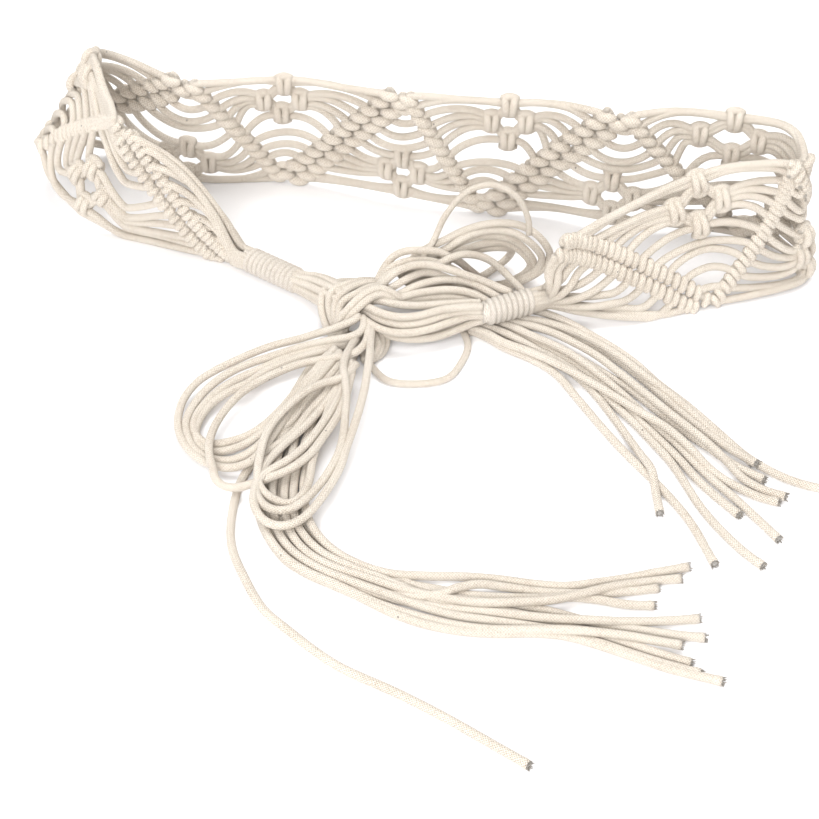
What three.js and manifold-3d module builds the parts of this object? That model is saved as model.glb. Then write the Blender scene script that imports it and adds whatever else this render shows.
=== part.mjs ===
// Waist belt of knotted cotton cord, closed in a loop and tied in front with a bow.
// Millimetres, +Z up, the surface it lies on at z = 0.
import * as THREE from 'three'
import { mergeVertices } from 'three/addons/utils/BufferGeometryUtils.js'
import Module from 'manifold-3d'

const wasm = await Module()
wasm.setup()

// Driving sizes
const cordThickness = 3
const bandWidth = 60
const repeatLength = 93
const netRepeats = 5.6
const wrapRadius = 5.2
const gap = 0.35

// The closed loop, as shares of the net's length
const netLength = netRepeats * repeatLength
const loopWidth = 0.6068 * netLength
const loopDepth = 0.2112 * netLength
const loopFront = 0.096 * netLength

// The bow and its tails are drawn in parts of the loop's width
const loopParts = 316
const bowUnit = loopWidth / loopParts

// The net before it is bent round
const risingShare = 0.6
const leadInShare = 0.17
const leadOutShare = 0.17
const knotRowWidth = 5
const doubleRowGroove = 0.9
const rowThickness = 5.6
const netThickness = 3
const strandWidth = 3.1
const ribInset = 0.45
const ribEnd = 0.4
const flowerHalf = 11.5
const flowerBarWidth = 6.4
const flowerTip = 2.5
const flowerShare = 0.2
const flowerHole = 2.2
const flowerInset = 1.2
const flowerClearance = 1
const slackBow = 4
const closedLevel = 0.9
const narrowestGap = 2
const shortestGap = 5
const gatherGapReach = 0.72
const gatherTaper = 0.3
const gatherPinch = 0.55
const flowerThickness = 5
const longestRun = 62
const longestRunInTurn = 22
const turns = [{ from: 0.55, to: 1.55 }, { from: 3.9, to: 4.95 }]

const weldDistance = 1e-4
const cream = 0xf3e6d0

const vec = (x, y, z) => new THREE.Vector3(x, y, z)

// Solids by manifold-3d
function toSolid(geometry) {
  const bare = new THREE.BufferGeometry()
  bare.setAttribute('position', geometry.getAttribute('position'))
  if (geometry.index) bare.setIndex(geometry.index)
  const merged = mergeVertices(bare, weldDistance)
  const mesh = new wasm.Mesh({
    numProp: 3,
    vertProperties: Float32Array.from(merged.getAttribute('position').array),
    triVerts: Uint32Array.from(merged.index.array),
  })
  return new wasm.Manifold(mesh)
}

function toGeometry(solid) {
  const mesh = solid.getMesh()
  const geometry = new THREE.BufferGeometry()
  geometry.setAttribute('position', new THREE.BufferAttribute(Float32Array.from(mesh.vertProperties), 3))
  geometry.setIndex(new THREE.BufferAttribute(Uint32Array.from(mesh.triVerts), 1))
  return geometry
}

const join = (solids) => solids.reduce((sum, solid) => sum.add(solid))

// Plates in the flat net, centred on its middle plane
function plate(points, thickness, holes = []) {
  const shape = new THREE.Shape(points.map(([x, y]) => new THREE.Vector2(x, y)))
  shape.holes = holes.map((hole) => new THREE.Path(hole.map(([x, y]) => new THREE.Vector2(x, y))))
  const geometry = new THREE.ExtrudeGeometry(shape, { depth: thickness, bevelEnabled: false, steps: 1 })
  geometry.translate(0, 0, -thickness / 2)
  return geometry
}

// Corners of the zigzag: valley and peak of each repeat
const valley = (repeat) => ({ x: repeat * repeatLength, y: 0 })
const peak = (repeat) => ({ x: (repeat + risingShare) * repeatLength, y: bandWidth })

const bandWidthOfRow = (isDouble) => isDouble ? 2 * knotRowWidth + doubleRowGroove : knotRowWidth

// Half of a row's width, measured along the net
function rowReach(from, to, isDouble) {
  const run = Math.abs(to.x - from.x)
  const length = Math.hypot(run, to.y - from.y)
  return bandWidthOfRow(isDouble) / 2 * length / bandWidth
}

// A strand's middle line between two points, bowed towards the open side
function strandLine(from, to, bow, count) {
  const points = []
  for (let i = 0; i <= count; i++) {
    const s = i / count
    points.push([from.x + (to.x - from.x) * s, from.y + (to.y - from.y) * s + bow * Math.sin(Math.PI * s)])
  }
  return points
}

function gapBetween(upper, lower, shift) {
  const top = upper.map(([x, y]) => [x, y - shift])
  const bottom = lower.map(([x, y]) => [x, y + shift])
  return top.concat(bottom.reverse())
}

// Share of the way from the open side to the closed corner where each strand leaves the rows
const strandLevels = [0.025, 0.16, 0.3, 0.45, 0.6, 0.74]
const flowerStrands = 4
const flowerSqueeze = 0.86
const flowerEdge = 0.005

// Gaps of one triangle, open to an edge between two corners and closed at the third
function triangleGaps(left, apex, right, leftReach, rightReach) {
  const towards = Math.sign(apex.y - left.y)
  const levelY = (t) => left.y + t * (apex.y - left.y)
  const leftX = (t) => left.x + t * (apex.x - left.x) + leftReach
  const rightX = (t) => right.x + t * (apex.x - right.x) - rightReach
  const flowerX = (leftX(flowerShare) + rightX(flowerShare)) / 2
  const halfStrand = strandWidth / 2
  const gaps = []
  const put = (upper, lower) => {
    const outline = gapBetween(upper, lower, halfStrand * -towards)
    gaps.push(outline)
  }
  const flowerSide = (t) => Math.max(flowerTip, flowerHalf * (1 - Math.abs(t - flowerShare) * bandWidth / flowerHalf) + flowerClearance)
  for (let i = 0; i + 1 < flowerStrands; i++) {
    const [a, b] = [strandLevels[i], strandLevels[i + 1]]
    const [fa, fb] = [a * flowerSqueeze + flowerEdge, b * flowerSqueeze + flowerEdge]
    const leftGap = [
      strandLine({ x: leftX(a), y: levelY(a) }, { x: flowerX - flowerSide(fa), y: levelY(fa) }, 0, 1),
      strandLine({ x: leftX(b), y: levelY(b) }, { x: flowerX - flowerSide(fb), y: levelY(fb) }, 0, 1),
    ]
    const rightGap = [
      strandLine({ x: flowerX + flowerSide(fa), y: levelY(fa) }, { x: rightX(a), y: levelY(a) }, 0, 1),
      strandLine({ x: flowerX + flowerSide(fb), y: levelY(fb) }, { x: rightX(b), y: levelY(b) }, 0, 1),
    ]
    put(...leftGap)
    put(...rightGap)
  }
  const slack = -slackBow * towards
  for (let i = flowerStrands - 1; i < strandLevels.length; i++) {
    const a = strandLevels[i]
    const b = strandLevels[i + 1] ?? closedLevel
    const upper = strandLine({ x: leftX(a), y: levelY(a) }, { x: rightX(a), y: levelY(a) }, slack, 3)
    const lower = strandLine({ x: leftX(b), y: levelY(b) }, { x: rightX(b), y: levelY(b) }, slack, 3)
    if (rightX(b) - leftX(b) > narrowestGap) put(upper, lower)
  }
  const centre = levelY(flowerShare)
  gaps.push([
    [flowerX - flowerHole, centre], [flowerX, centre - flowerHole],
    [flowerX + flowerHole, centre], [flowerX, centre + flowerHole],
  ])
  return { gaps, flower: { x: flowerX, y: centre } }
}

// Gaps of the gathers, where the strands of the last row run together to a wrap
const gatherLevels = [0.03, 0.2, 0.37, 0.54, 0.71, 0.88]

function gatherGaps(low, high, reach, mouthX, side) {
  const rowX = (t) => low.x + t * (high.x - low.x) - side * reach
  const gaps = []
  for (let i = 0; i + 1 < gatherLevels.length; i++) {
    const [a, b] = [gatherLevels[i], gatherLevels[i + 1]]
    const tip = (a + b) / 2
    const tipX = rowX(tip) + (mouthX - rowX(tip)) * gatherGapReach
    if (Math.abs(tipX - rowX(tip)) < shortestGap) continue
    const [lowSide, highSide] = [a, b].map((level) => (level + (tip - level) * gatherTaper) * bandWidth)
    const points = [
      [rowX(a), a * bandWidth + strandWidth / 2],
      [rowX(b), b * bandWidth - strandWidth / 2],
      [(rowX(b) + tipX) / 2, highSide - strandWidth * gatherPinch],
      [tipX, tip * bandWidth],
      [(rowX(a) + tipX) / 2, lowSide + strandWidth * gatherPinch],
    ]
    gaps.push(points)
  }
  return gaps
}

// Ribs of a row of knots, and the crossed bars of a flower
function rowRibs(from, to, isDouble) {
  const lean = (to.x - from.x) / (to.y - from.y)
  const along = Math.hypot(1, lean)
  const half = knotRowWidth / 2 * along
  const offsets = isDouble ? [-1, 1].map((side) => side * (knotRowWidth + doubleRowGroove) / 2 * along) : [0]
  return offsets.map((offset) => {
    const at = (y, side) => [from.x + (y - from.y) * lean + offset + side * (half - ribInset), y]
    const [y0, y1] = [-ribEnd, bandWidth + ribEnd]
    return plate([at(y0, -1), at(y0, 1), at(y1, 1), at(y1, -1)], rowThickness)
  })
}

function flowerRib({ x, y }) {
  const outer = flowerHalf - flowerInset
  const inner = outer - flowerBarWidth
  const diamond = (reach) => [[x - reach, y], [x, y - reach], [x + reach, y], [x, y + reach]]
  return plate(diamond(outer), flowerThickness, [diamond(inner)])
}

function flatNet() {
  const first = valley(0)
  const lastValley = valley(Math.floor(netRepeats))
  const lastPeak = peak(Math.floor(netRepeats))
  const start = -leadInShare * repeatLength
  const end = lastPeak.x + leadOutShare * repeatLength
  const single = rowReach(peak(0), valley(1), false)
  const double = rowReach(valley(0), peak(0), true)
  const gaps = [
    ...gatherGaps(first, peak(0), double, start, 1),
    ...gatherGaps(lastValley, lastPeak, double, end, -1),
  ]
  const ribs = []
  for (let repeat = 0; repeat <= lastValley.x / repeatLength; repeat++) {
    ribs.push(...rowRibs(valley(repeat), peak(repeat), true))
    if (valley(repeat).x === lastValley.x) break
    ribs.push(...rowRibs(peak(repeat), valley(repeat + 1), false))
    const below = triangleGaps(valley(repeat), peak(repeat), valley(repeat + 1), double, single)
    const above = triangleGaps(peak(repeat), valley(repeat + 1), peak(repeat + 1), single, double)
    gaps.push(...below.gaps, ...above.gaps)
    ribs.push(flowerRib(below.flower), flowerRib(above.flower))
  }
  const outline = [[start, 0], [end, 0], [end, bandWidth], [start, bandWidth]]
  const sheet = toSolid(plate(outline, netThickness, gaps))
  return join([sheet, ...ribs.map(toSolid)])
}

// How far an edge runs along the net, as a share of what its place allows
function runShare(xA, xB) {
  const at = (xA + xB) / 2 / repeatLength
  const isTurn = turns.some(({ from, to }) => at > from && at < to)
  return Math.abs(xA - xB) / (isTurn ? longestRunInTurn : longestRun)
}

// Every edge that runs too far is halved, in both of its triangles, until none is left
function splitLongEdges(geometry) {
  const points = Array.from(geometry.getAttribute('position').array)
  let triangles = Array.from(geometry.index.array)
  const run = (a, b) => runShare(points[3 * a], points[3 * b])
  let changed = true
  while (changed) {
    changed = false
    const middles = new Map()
    const middle = (a, b) => {
      const key = a < b ? `${a}_${b}` : `${b}_${a}`
      if (!middles.has(key)) {
        for (let k = 0; k < 3; k++) points.push((points[3 * a + k] + points[3 * b + k]) / 2)
        middles.set(key, points.length / 3 - 1)
      }
      return middles.get(key)
    }
    const next = []
    for (let i = 0; i < triangles.length; i += 3) {
      const corner = [triangles[i], triangles[i + 1], triangles[i + 2]]
      const runs = corner.map((c, k) => run(c, corner[(k + 1) % 3]))
      const k = runs.indexOf(Math.max(...runs))
      const [a, b, c] = [corner[k], corner[(k + 1) % 3], corner[(k + 2) % 3]]
      const isLong = [run(a, b), run(b, c), run(c, a)].map((share) => share > 1)
      if (!isLong[0]) {
        next.push(a, b, c)
        continue
      }
      changed = true
      const ab = middle(a, b)
      const bc = isLong[1] ? middle(b, c) : -1
      const ca = isLong[2] ? middle(c, a) : -1
      if (bc < 0 && ca < 0) next.push(a, ab, c, ab, b, c)
      else if (ca < 0) next.push(a, ab, c, ab, b, bc, ab, bc, c)
      else if (bc < 0) next.push(a, ab, ca, ab, b, ca, b, c, ca)
      else next.push(a, ab, ca, ab, b, bc, ca, bc, c, ab, bc, ca)
    }
    triangles = next
  }
  const split = new THREE.BufferGeometry()
  split.setAttribute('position', new THREE.Float32BufferAttribute(points, 3))
  split.setIndex(triangles)
  return split
}

// Stations round the loop. at counts repeats of the net, x and y place the lower edge as shares of the
// loop's width and depth, lift and width are shares of the band's width, and leanX and leanY say how far
// the upper edge stands over from it, as shares of the band's width too.
const stations = [
  { at: -0.17, x: -0.207, y: 0.325, lift: 0.03, width: 0.13, leanX: 0.01, leanY: -0.01 },
  { at: 0.0, x: -0.224, y: 0.368, lift: 0.0, width: 0.27, leanX: 0.06, leanY: -0.08 },
  { at: 0.2, x: -0.266, y: 0.42, lift: 0.0, width: 0.58, leanX: 0.05, leanY: -0.16 },
  { at: 0.4, x: -0.32, y: 0.49, lift: 0.0, width: 0.89, leanX: 0.07, leanY: -0.21 },
  { at: 0.6, x: -0.38, y: 0.545, lift: 0.0, width: 1.0, leanX: 0.135, leanY: -0.125 },
  { at: 0.72, x: -0.426, y: 0.59, lift: 0.065, width: 1.0, leanX: 0.31, leanY: -0.02 },
  { at: 0.84, x: -0.464, y: 0.69, lift: 0.18, width: 1.0, leanX: 0.46, leanY: -0.07 },
  { at: 0.94, x: -0.479, y: 0.76, lift: 0.29, width: 1.0, leanX: 0.51, leanY: -0.12 },
  { at: 1.03, x: -0.488, y: 0.835, lift: 0.32, width: 1.0, leanX: 0.52, leanY: -0.13 },
  { at: 1.14, x: -0.474, y: 0.97, lift: 0.23, width: 1.0, leanX: 0.44, leanY: -0.19 },
  { at: 1.32, x: -0.4, y: 1.07, lift: 0.05, width: 1.0, leanX: 0.22, leanY: -0.27 },
  { at: 1.6, x: -0.292, y: 0.91, lift: 0.0, width: 1.0, leanX: 0.067, leanY: -0.25 },
  { at: 2.0, x: -0.168, y: 0.9, lift: 0.0, width: 1.0, leanX: 0.1, leanY: -0.22 },
  { at: 2.3, x: -0.09, y: 0.84, lift: 0.0, width: 1.0, leanX: 0.06, leanY: -0.2 },
  { at: 2.6, x: -0.012, y: 0.75, lift: 0.0, width: 1.0, leanX: 0.03, leanY: -0.15 },
  { at: 3.0, x: 0.094, y: 0.69, lift: 0.0, width: 1.0, leanX: 0.02, leanY: -0.13 },
  { at: 3.3, x: 0.18, y: 0.66, lift: 0.0, width: 1.0, leanX: -0.02, leanY: -0.12 },
  { at: 3.6, x: 0.27, y: 0.55, lift: 0.0, width: 1.0, leanX: -0.04, leanY: -0.05 },
  { at: 3.8, x: 0.34, y: 0.55, lift: 0.0, width: 1.0, leanX: -0.03, leanY: -0.02 },
  { at: 4.0, x: 0.43, y: 0.52, lift: 0.0, width: 1.0, leanX: -0.02, leanY: -0.05 },
  { at: 4.25, x: 0.475, y: 0.42, lift: 0.0, width: 1.0, leanX: -0.05, leanY: -0.02 },
  { at: 4.45, x: 0.495, y: 0.33, lift: 0.0, width: 1.0, leanX: -0.13, leanY: -0.1 },
  { at: 4.6, x: 0.493, y: 0.26, lift: 0.0, width: 1.0, leanX: -0.17, leanY: -0.05 },
  { at: 4.75, x: 0.472, y: 0.2, lift: 0.0, width: 1.0, leanX: -0.22, leanY: 0.15 },
  { at: 5.0, x: 0.367, y: 0.096, lift: 0.0, width: 0.98, leanX: -0.07, leanY: 0.35 },
  { at: 5.3, x: 0.26, y: 0.01, lift: 0.0, width: 0.8, leanX: -0.05, leanY: 0.28 },
  { at: 5.6, x: 0.168, y: 0.0, lift: 0.06, width: 0.51, leanX: 0.04, leanY: 0.03 },
  { at: 5.77, x: 0.155, y: 0.01, lift: 0.13, width: 0.14, leanX: 0.01, leanY: 0.01 },
]

function stationEdges({ x, y, lift, width, leanX, leanY }) {
  const foot = vec(x * loopWidth, loopFront + y * loopDepth, lift * bandWidth)
  const rise = Math.sqrt(Math.max(0, width * width - leanX * leanX - leanY * leanY))
  return { foot, head: foot.clone().add(vec(leanX, leanY, rise).multiplyScalar(bandWidth)) }
}

// Smooth value through the stations, exact at each of them
function throughStations(at, edge) {
  const last = stations.length - 1
  let i = 0
  while (i < last - 1 && stations[i + 1].at <= at) i++
  const s = (at - stations[i].at) / (stations[i + 1].at - stations[i].at)
  const point = (k) => stationEdges(stations[Math.min(last, Math.max(0, k))])[edge]
  const place = (k) => stations[Math.min(last, Math.max(0, k))].at
  const slope = (k) => {
    const [a, b] = [Math.max(0, k - 1), Math.min(last, k + 1)]
    return point(b).sub(point(a)).divideScalar(place(b) - place(a))
  }
  const span = place(i + 1) - place(i)
  const [s2, s3] = [s * s, s * s * s]
  return point(i).multiplyScalar(2 * s3 - 3 * s2 + 1)
    .addScaledVector(slope(i), (s3 - 2 * s2 + s) * span)
    .addScaledVector(point(i + 1), -2 * s3 + 3 * s2)
    .addScaledVector(slope(i + 1), (s3 - s2) * span)
}

// At the left fold the knots stand high on the band, and the strands under them hang long
const raised = { from: 0.55, fullFrom: 0.66, fullTo: 0.97, to: 1.12, most: 0.21, skew: 0.7 }

function raisedShare(at, share) {
  const fadeIn = (at - raised.from) / (raised.fullFrom - raised.from)
  const fadeOut = (raised.to - at) / (raised.to - raised.fullTo)
  const strength = Math.min(1, Math.max(0, Math.min(fadeIn, fadeOut)))
  const inside = Math.min(1, Math.max(0, share))
  return share + raised.most * strength * Math.sin(Math.PI * inside ** raised.skew)
}

// A point of the flat net carried to its place round the loop
function bendNet(flatX, flatY, out) {
  const at = flatX / repeatLength
  const share = raisedShare(at, flatY / bandWidth)
  const surface = (a) => {
    const foot = throughStations(a, 'foot')
    return foot.lerp(throughStations(a, 'head'), share)
  }
  const step = 0.02
  const along = surface(at + step).sub(surface(at - step)).normalize()
  const up = throughStations(at, 'head').sub(throughStations(at, 'foot')).normalize()
  const outward = vec(0, 0, 0).crossVectors(along, up).normalize()
  const point = surface(at).addScaledVector(outward, out)
  point.z = Math.max(0, point.z)
  return point
}

function makeNet() {
  const flat = splitLongEdges(toGeometry(flatNet()))
  const position = flat.getAttribute('position')
  for (let i = 0; i < position.count; i++) {
    const bent = bendNet(position.getX(i), position.getY(i), position.getZ(i))
    position.setXYZ(i, bent.x, bent.y, bent.z)
  }
  return flat
}

const bowPoint = ([x, y, z]) => vec(x * bowUnit, y * bowUnit, z)

// A bundle of cords: an oval section, wide along the ground, carried along its route. Each point of a
// route is x, y, z and half the bundle's width there. grow makes it larger all round, for a cutter.
function bundle(route, halfHeight, { sides = 8, steps = 3, grow = 0 } = {}) {
  const curve = new THREE.CatmullRomCurve3(route.map(bowPoint), false, 'centripetal')
  const rings = (route.length - 1) * steps
  const positions = []
  for (let i = 0; i <= rings; i++) {
    const s = i / rings
    const centre = curve.getPoint(s)
    const along = curve.getTangent(s)
    const across = vec(0, 0, 0).crossVectors(along, vec(0, 0, 1)).normalize()
    const up = vec(0, 0, 0).crossVectors(across, along)
    const k = Math.min(route.length - 2, Math.floor(i / steps))
    const part = i / steps - k
    const halfWidth = route[k][3] + (route[k + 1][3] - route[k][3]) * part
    if (i === 0) centre.addScaledVector(along, -grow)
    if (i === rings) centre.addScaledVector(along, grow)
    for (let j = 0; j < sides; j++) {
      const angle = 2 * Math.PI * (j + 0.5) / sides
      const point = centre.clone()
        .addScaledVector(across, (halfWidth + grow) * Math.cos(angle))
        .addScaledVector(up, (Math.min(halfHeight, halfWidth) + grow) * Math.sin(angle))
      positions.push(point.x, point.y, Math.max(0, point.z))
    }
  }
  const index = []
  for (let i = 0; i < rings; i++) {
    for (let j = 0; j < sides; j++) {
      const [a, b] = [i * sides + j, i * sides + (j + 1) % sides]
      index.push(a, a + sides, b, b, a + sides, b + sides)
    }
  }
  const last = rings * sides
  for (let j = 1; j + 1 < sides; j++) {
    index.push(0, j, j + 1)
    index.push(last, last + j + 1, last + j)
  }
  const geometry = new THREE.BufferGeometry()
  geometry.setAttribute('position', new THREE.Float32BufferAttribute(positions, 3))
  geometry.setIndex(index)
  return geometry
}

const half = cordThickness / 2
const floorCordHeight = 1.35
const cordRoute = (points) => points.map(([x, y, z]) => [x, y, z, half])

// Wraps, each from its mouth at the net to its end at the bow
const wraps = {
  left_wrap: { from: bowPoint([-64.2, 86.6, 5.6]), to: bowPoint([-42, 70.2, 5.6]) },
  right_wrap: { from: bowPoint([48.4, 52.6, 10.6]), to: bowPoint([27.2, 43.6, 10.6]) },
}
const wrapTurnPitch = 2.7
const wrapGroove = 0.5
const wrapSides = 12

const wrapTurnQuaternion = ({ from, to }) =>
  new THREE.Quaternion().setFromUnitVectors(vec(0, 1, 0), to.clone().sub(from).normalize())

// A plain cylinder that keeps other pieces clear of a wrap
function wrapCutter(wrap) {
  const length = wrap.from.distanceTo(wrap.to)
  const radius = wrapRadius + gap
  const geometry = new THREE.CylinderGeometry(radius, radius, length + 2 * gap, wrapSides)
  geometry.translate(0, length / 2, 0)
  geometry.applyQuaternion(wrapTurnQuaternion(wrap))
  geometry.translate(wrap.from.x, wrap.from.y, wrap.from.z)
  return geometry
}

function makeWrap({ from, to }) {
  const length = from.distanceTo(to)
  const turns = Math.round(length / wrapTurnPitch)
  const profile = [new THREE.Vector2(0, 0)]
  for (let turn = 0; turn < turns; turn++) {
    const y = length * turn / turns
    profile.push(new THREE.Vector2(wrapRadius - wrapGroove, y))
    profile.push(new THREE.Vector2(wrapRadius, y + length / turns / 2))
  }
  profile.push(new THREE.Vector2(wrapRadius - wrapGroove, length), new THREE.Vector2(0, length))
  return new THREE.LatheGeometry(profile, wrapSides)
}

// Routes of the bow's bundles: x and y in parts of the loop's width, height and half width in millimetres
const leftLeadRoute = [[-43, 70.8, 5.8, 4.4], [-35, 64, 7, 6.4], [-28, 56, 9, 6.4]]
const frontBundleRoute = [
  [28, 44, 10.6, 4.6], [14, 41.5, 10.4, 9.5], [0, 41, 10.4, 12], [-11, 44, 11, 10], [-20, 48, 12, 7],
]
const knotTurnRoute = [
  [-11, 49, 14.5, 4.5], [-19, 53, 16, 5], [-26, 51, 14.5, 5.5], [-30, 47, 10, 5.5], [-29, 43, 5, 5],
]
const rightLoopRoute = [
  [-9, 51, 13, 3.5], [6, 66, 21, 5], [22, 75, 29, 5.5], [38, 79, 29, 5.5], [50, 77, 21, 5.5],
  [53.5, 72, 12, 5], [47, 66, 5.5, 4.5], [30, 63, 4, 4.5], [10, 61, 3.8, 4.5], [-2, 52, 3, 3.5],
]
const rightCrossRoute = [[-8, 51, 13, 3], [12, 65, 21, 3], [27, 67, 20, 3], [36, 66, 13, 3], [40, 66, 6, 3]]
const archRoute = [[8, 72, 27.5], [14, 76, 35], [23, 80, 43.5], [33, 81, 45], [42, 80, 40], [47, 79, 30]]
const leftLoopRoute = [
  [-27, 38, 10.5, 3.5], [-41, 34, 9.5, 4.2], [-52, 28, 8.5, 4.6], [-65, 19, 7.5, 5], [-76, 6, 6, 5.2],
  [-80, -8, 4.5, 5.2], [-79, -22, 3.6, 5.4], [-72, -34, 3.4, 6], [-63, -37, 3.8, 6], [-57, -28, 6, 5],
  [-50, -14, 8, 4], [-41, 2, 8.6, 4], [-33, 18, 9, 4],
]
const frontLoopRoute = [
  [-21, 27, 14.2, 3], [-32, 14, 13.6, 3], [-43, 0, 13, 3], [-51, -20, 11.5, 3], [-54.5, -40, 9.5, 3],
  [-54, -54, 8, 3.2], [-48, -64, 7.6, 3.4], [-40, -66, 7.4, 3.4], [-31, -58, 7.4, 3.4], [-24, -36, 7.6, 3.4],
  [-18, -11, 9, 3], [-16, 8, 10.5, 3],
]
const smallLoopRoute = [
  [-20, 37, 1.35], [-15, 25, 1.35], [-8, 15, 1.35], [3, 13, 1.35], [14, 16, 1.35], [20, 27, 1.35],
]
const leftTailRoute = [
  [-24, 40, 2.4, 7], [-34, 8, 2.4, 8], [-43, -22, 2.4, 8], [-47, -48, 2.4, 8],
  [-41, -70, 2.4, 8], [-26, -86, 2.4, 7.5], [-4, -93, 2.4, 8], [22, -98, 2.4, 10], [48, -102, 2.4, 11],
]
const rightTailRoute = [
  [-4, 46, 2.4, 7], [18, 47, 2.4, 8], [42, 43.5, 2.4, 12], [57, 31, 2.4, 13.5], [70, 17, 2.4, 14],
  [81, 1, 2.4, 14], [90, -12, 2.4, 13.5],
]
const leftEnds = [
  [[30, -91], [62, -88], [93, -84]],
  [[40, -94], [66, -92], [90, -89]],
  [[40, -97], [62, -97], [82, -94]],
  [[40, -98], [62, -100], [80, -102]],
  [[40, -102], [70, -106], [94, -107.5]],
  [[40, -104], [72, -112], [95, -116.5]],
  [[40, -107], [65, -114], [87, -119.5]],
  [[42, -110], [68, -120], [90, -127]],
  [[40, -111], [66, -123], [92, -132]],
  [[38, -112], [64, -123], [98, -135]],
]
const rightEnds = [
  [[72, -2], [81, -24], [87, -39]],
  [[72, -6], [82, -34], [85.5, -58]],
  [[78, -10], [92, -48], [102, -83]],
  [[83, -12], [102, -52], [118, -84]],
  [[86, -10], [102, -38], [113, -59]],
  [[90, -10], [110, -40], [125.5, -70]],
  [[93, -8], [112, -35], [130, -53]],
  [[95, -4], [110, -23], [122, -38]],
  [[97, -2], [114, -21], [126, -36]],
  [[98, 0], [112, -17], [121, -34]],
  [[96, 2], [118, -24], [133, -40], [150, -47]],
]
const loneRoute = [
  [-54, -28, 1.35], [-59, -41, 1.35], [-61, -57, 1.35], [-60, -73, 1.35], [-55, -88, 1.35], [-48, -103, 1.35],
  [-39, -113, 1.35], [-23, -128, 1.35], [-4, -140, 1.35], [14, -152, 1.35], [36, -169, 1.35],
]

// A sheaf of free cords: the body of it, fused with each cord that leaves it
function makeTail(route, halfHeight, ends) {
  const strands = ends.map((points) => bundle(cordRoute(points.map(([x, y]) => [x, y, floorCordHeight])),
    half, { sides: 6, steps: 2 }))
  return [bundle(route, halfHeight, { steps: 2 }), ...strands]
}

const belt = new THREE.Group()

function addPart(name, geometry) {
  const material = new THREE.MeshStandardMaterial({ color: cream, roughness: 0.85, metalness: 0 })
  const mesh = new THREE.Mesh(geometry, material)
  mesh.name = name
  belt.add(mesh)
  return mesh
}

// Solids of the bow in the order they lie, each cut clear of those laid before it
const laid = []

function lay(name, pieces) {
  let solid = join(pieces(0).map(toSolid))
  for (const cutter of laid) solid = solid.subtract(cutter)
  laid.push(join(pieces(gap).map(toSolid)))
  addPart(name, toGeometry(solid))
}

for (const [name, wrap] of Object.entries(wraps)) {
  const mesh = addPart(name, makeWrap(wrap))
  mesh.position.copy(wrap.from)
  mesh.quaternion.copy(wrapTurnQuaternion(wrap))
  laid.push(toSolid(wrapCutter(wrap)))
}
const netSolid = laid.reduce((solid, cutter) => solid.subtract(cutter), toSolid(makeNet()))
addPart('net_band', toGeometry(netSolid))
lay('right_tail', (grow) => grow ? [bundle(rightTailRoute, 2.7, { steps: 2, grow })]
  : makeTail(rightTailRoute, 2.7, rightEnds))
lay('left_tail', (grow) => grow ? [bundle(leftTailRoute, 2.6, { steps: 2, grow })]
  : makeTail(leftTailRoute, 2.6, leftEnds))
lay('lone_strand', (grow) => [bundle(cordRoute(loneRoute), half, { sides: 8, steps: 2, grow })])
lay('bow_small_loop', (grow) => [bundle(cordRoute(smallLoopRoute), half, { sides: 8, steps: 2, grow })])
lay('left_lead', (grow) => [bundle(leftLeadRoute, 4.4, { steps: 2, grow })])
lay('front_bundle', (grow) => [bundle(frontBundleRoute, 5.6, { sides: 10, grow })])
lay('bow_knot', (grow) => [bundle(knotTurnRoute, 3.6, { sides: 10, grow })])
lay('bow_left_loop', (grow) => [bundle(leftLoopRoute, 2.2, { grow })])
lay('bow_front_loop', (grow) => [bundle(frontLoopRoute, 1.7, { grow })])
lay('bow_right_loop', (grow) => [
  bundle(rightLoopRoute, 3.4, { grow }), bundle(rightCrossRoute, 2.2, { sides: 6, grow }),
])
lay('bow_arch', (grow) => [bundle(cordRoute(archRoute), half, { sides: 8, steps: 2, grow })])

// The origin is under the middle of the belt's box, on the surface that it lies on
const box = new THREE.Box3().setFromObject(belt, true)
const middle = box.getCenter(vec(0, 0, 0))
belt.position.set(-middle.x, -middle.y, -box.min.z)

export default belt
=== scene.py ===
# Waist belt of knotted cotton cord, tied in a bow in front.
# Sizes are in millimetres, in the frame that the belt was drawn in, and put() carries points over.
import math
import random

import bmesh
import bpy
import numpy as np
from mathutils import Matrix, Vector


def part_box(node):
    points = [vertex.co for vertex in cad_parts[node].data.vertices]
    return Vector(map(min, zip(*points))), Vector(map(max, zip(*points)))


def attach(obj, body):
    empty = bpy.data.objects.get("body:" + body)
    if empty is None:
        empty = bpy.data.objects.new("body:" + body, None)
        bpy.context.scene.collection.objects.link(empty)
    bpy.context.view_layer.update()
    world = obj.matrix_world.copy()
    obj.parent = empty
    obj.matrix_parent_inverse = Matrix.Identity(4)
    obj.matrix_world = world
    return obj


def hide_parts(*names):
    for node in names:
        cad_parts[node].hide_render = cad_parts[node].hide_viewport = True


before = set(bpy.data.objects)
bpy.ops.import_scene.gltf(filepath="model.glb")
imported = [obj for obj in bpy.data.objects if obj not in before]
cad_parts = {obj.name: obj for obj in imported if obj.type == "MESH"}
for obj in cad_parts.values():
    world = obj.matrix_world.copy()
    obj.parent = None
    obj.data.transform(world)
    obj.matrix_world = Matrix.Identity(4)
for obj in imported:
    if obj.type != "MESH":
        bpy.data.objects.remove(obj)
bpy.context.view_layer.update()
print("frame loaded:", len(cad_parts), "nodes")

mm = 0.001
body = "root"
random.seed(7)

wraps = {
    "left_wrap": {"start": (-64.2, 86.6, 5.6), "end": (-42.0, 70.2, 5.6), "turns": 11},
    "right_wrap": {"start": (48.4, 52.6, 10.6), "end": (27.2, 43.6, 10.6), "turns": 9},
}

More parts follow.
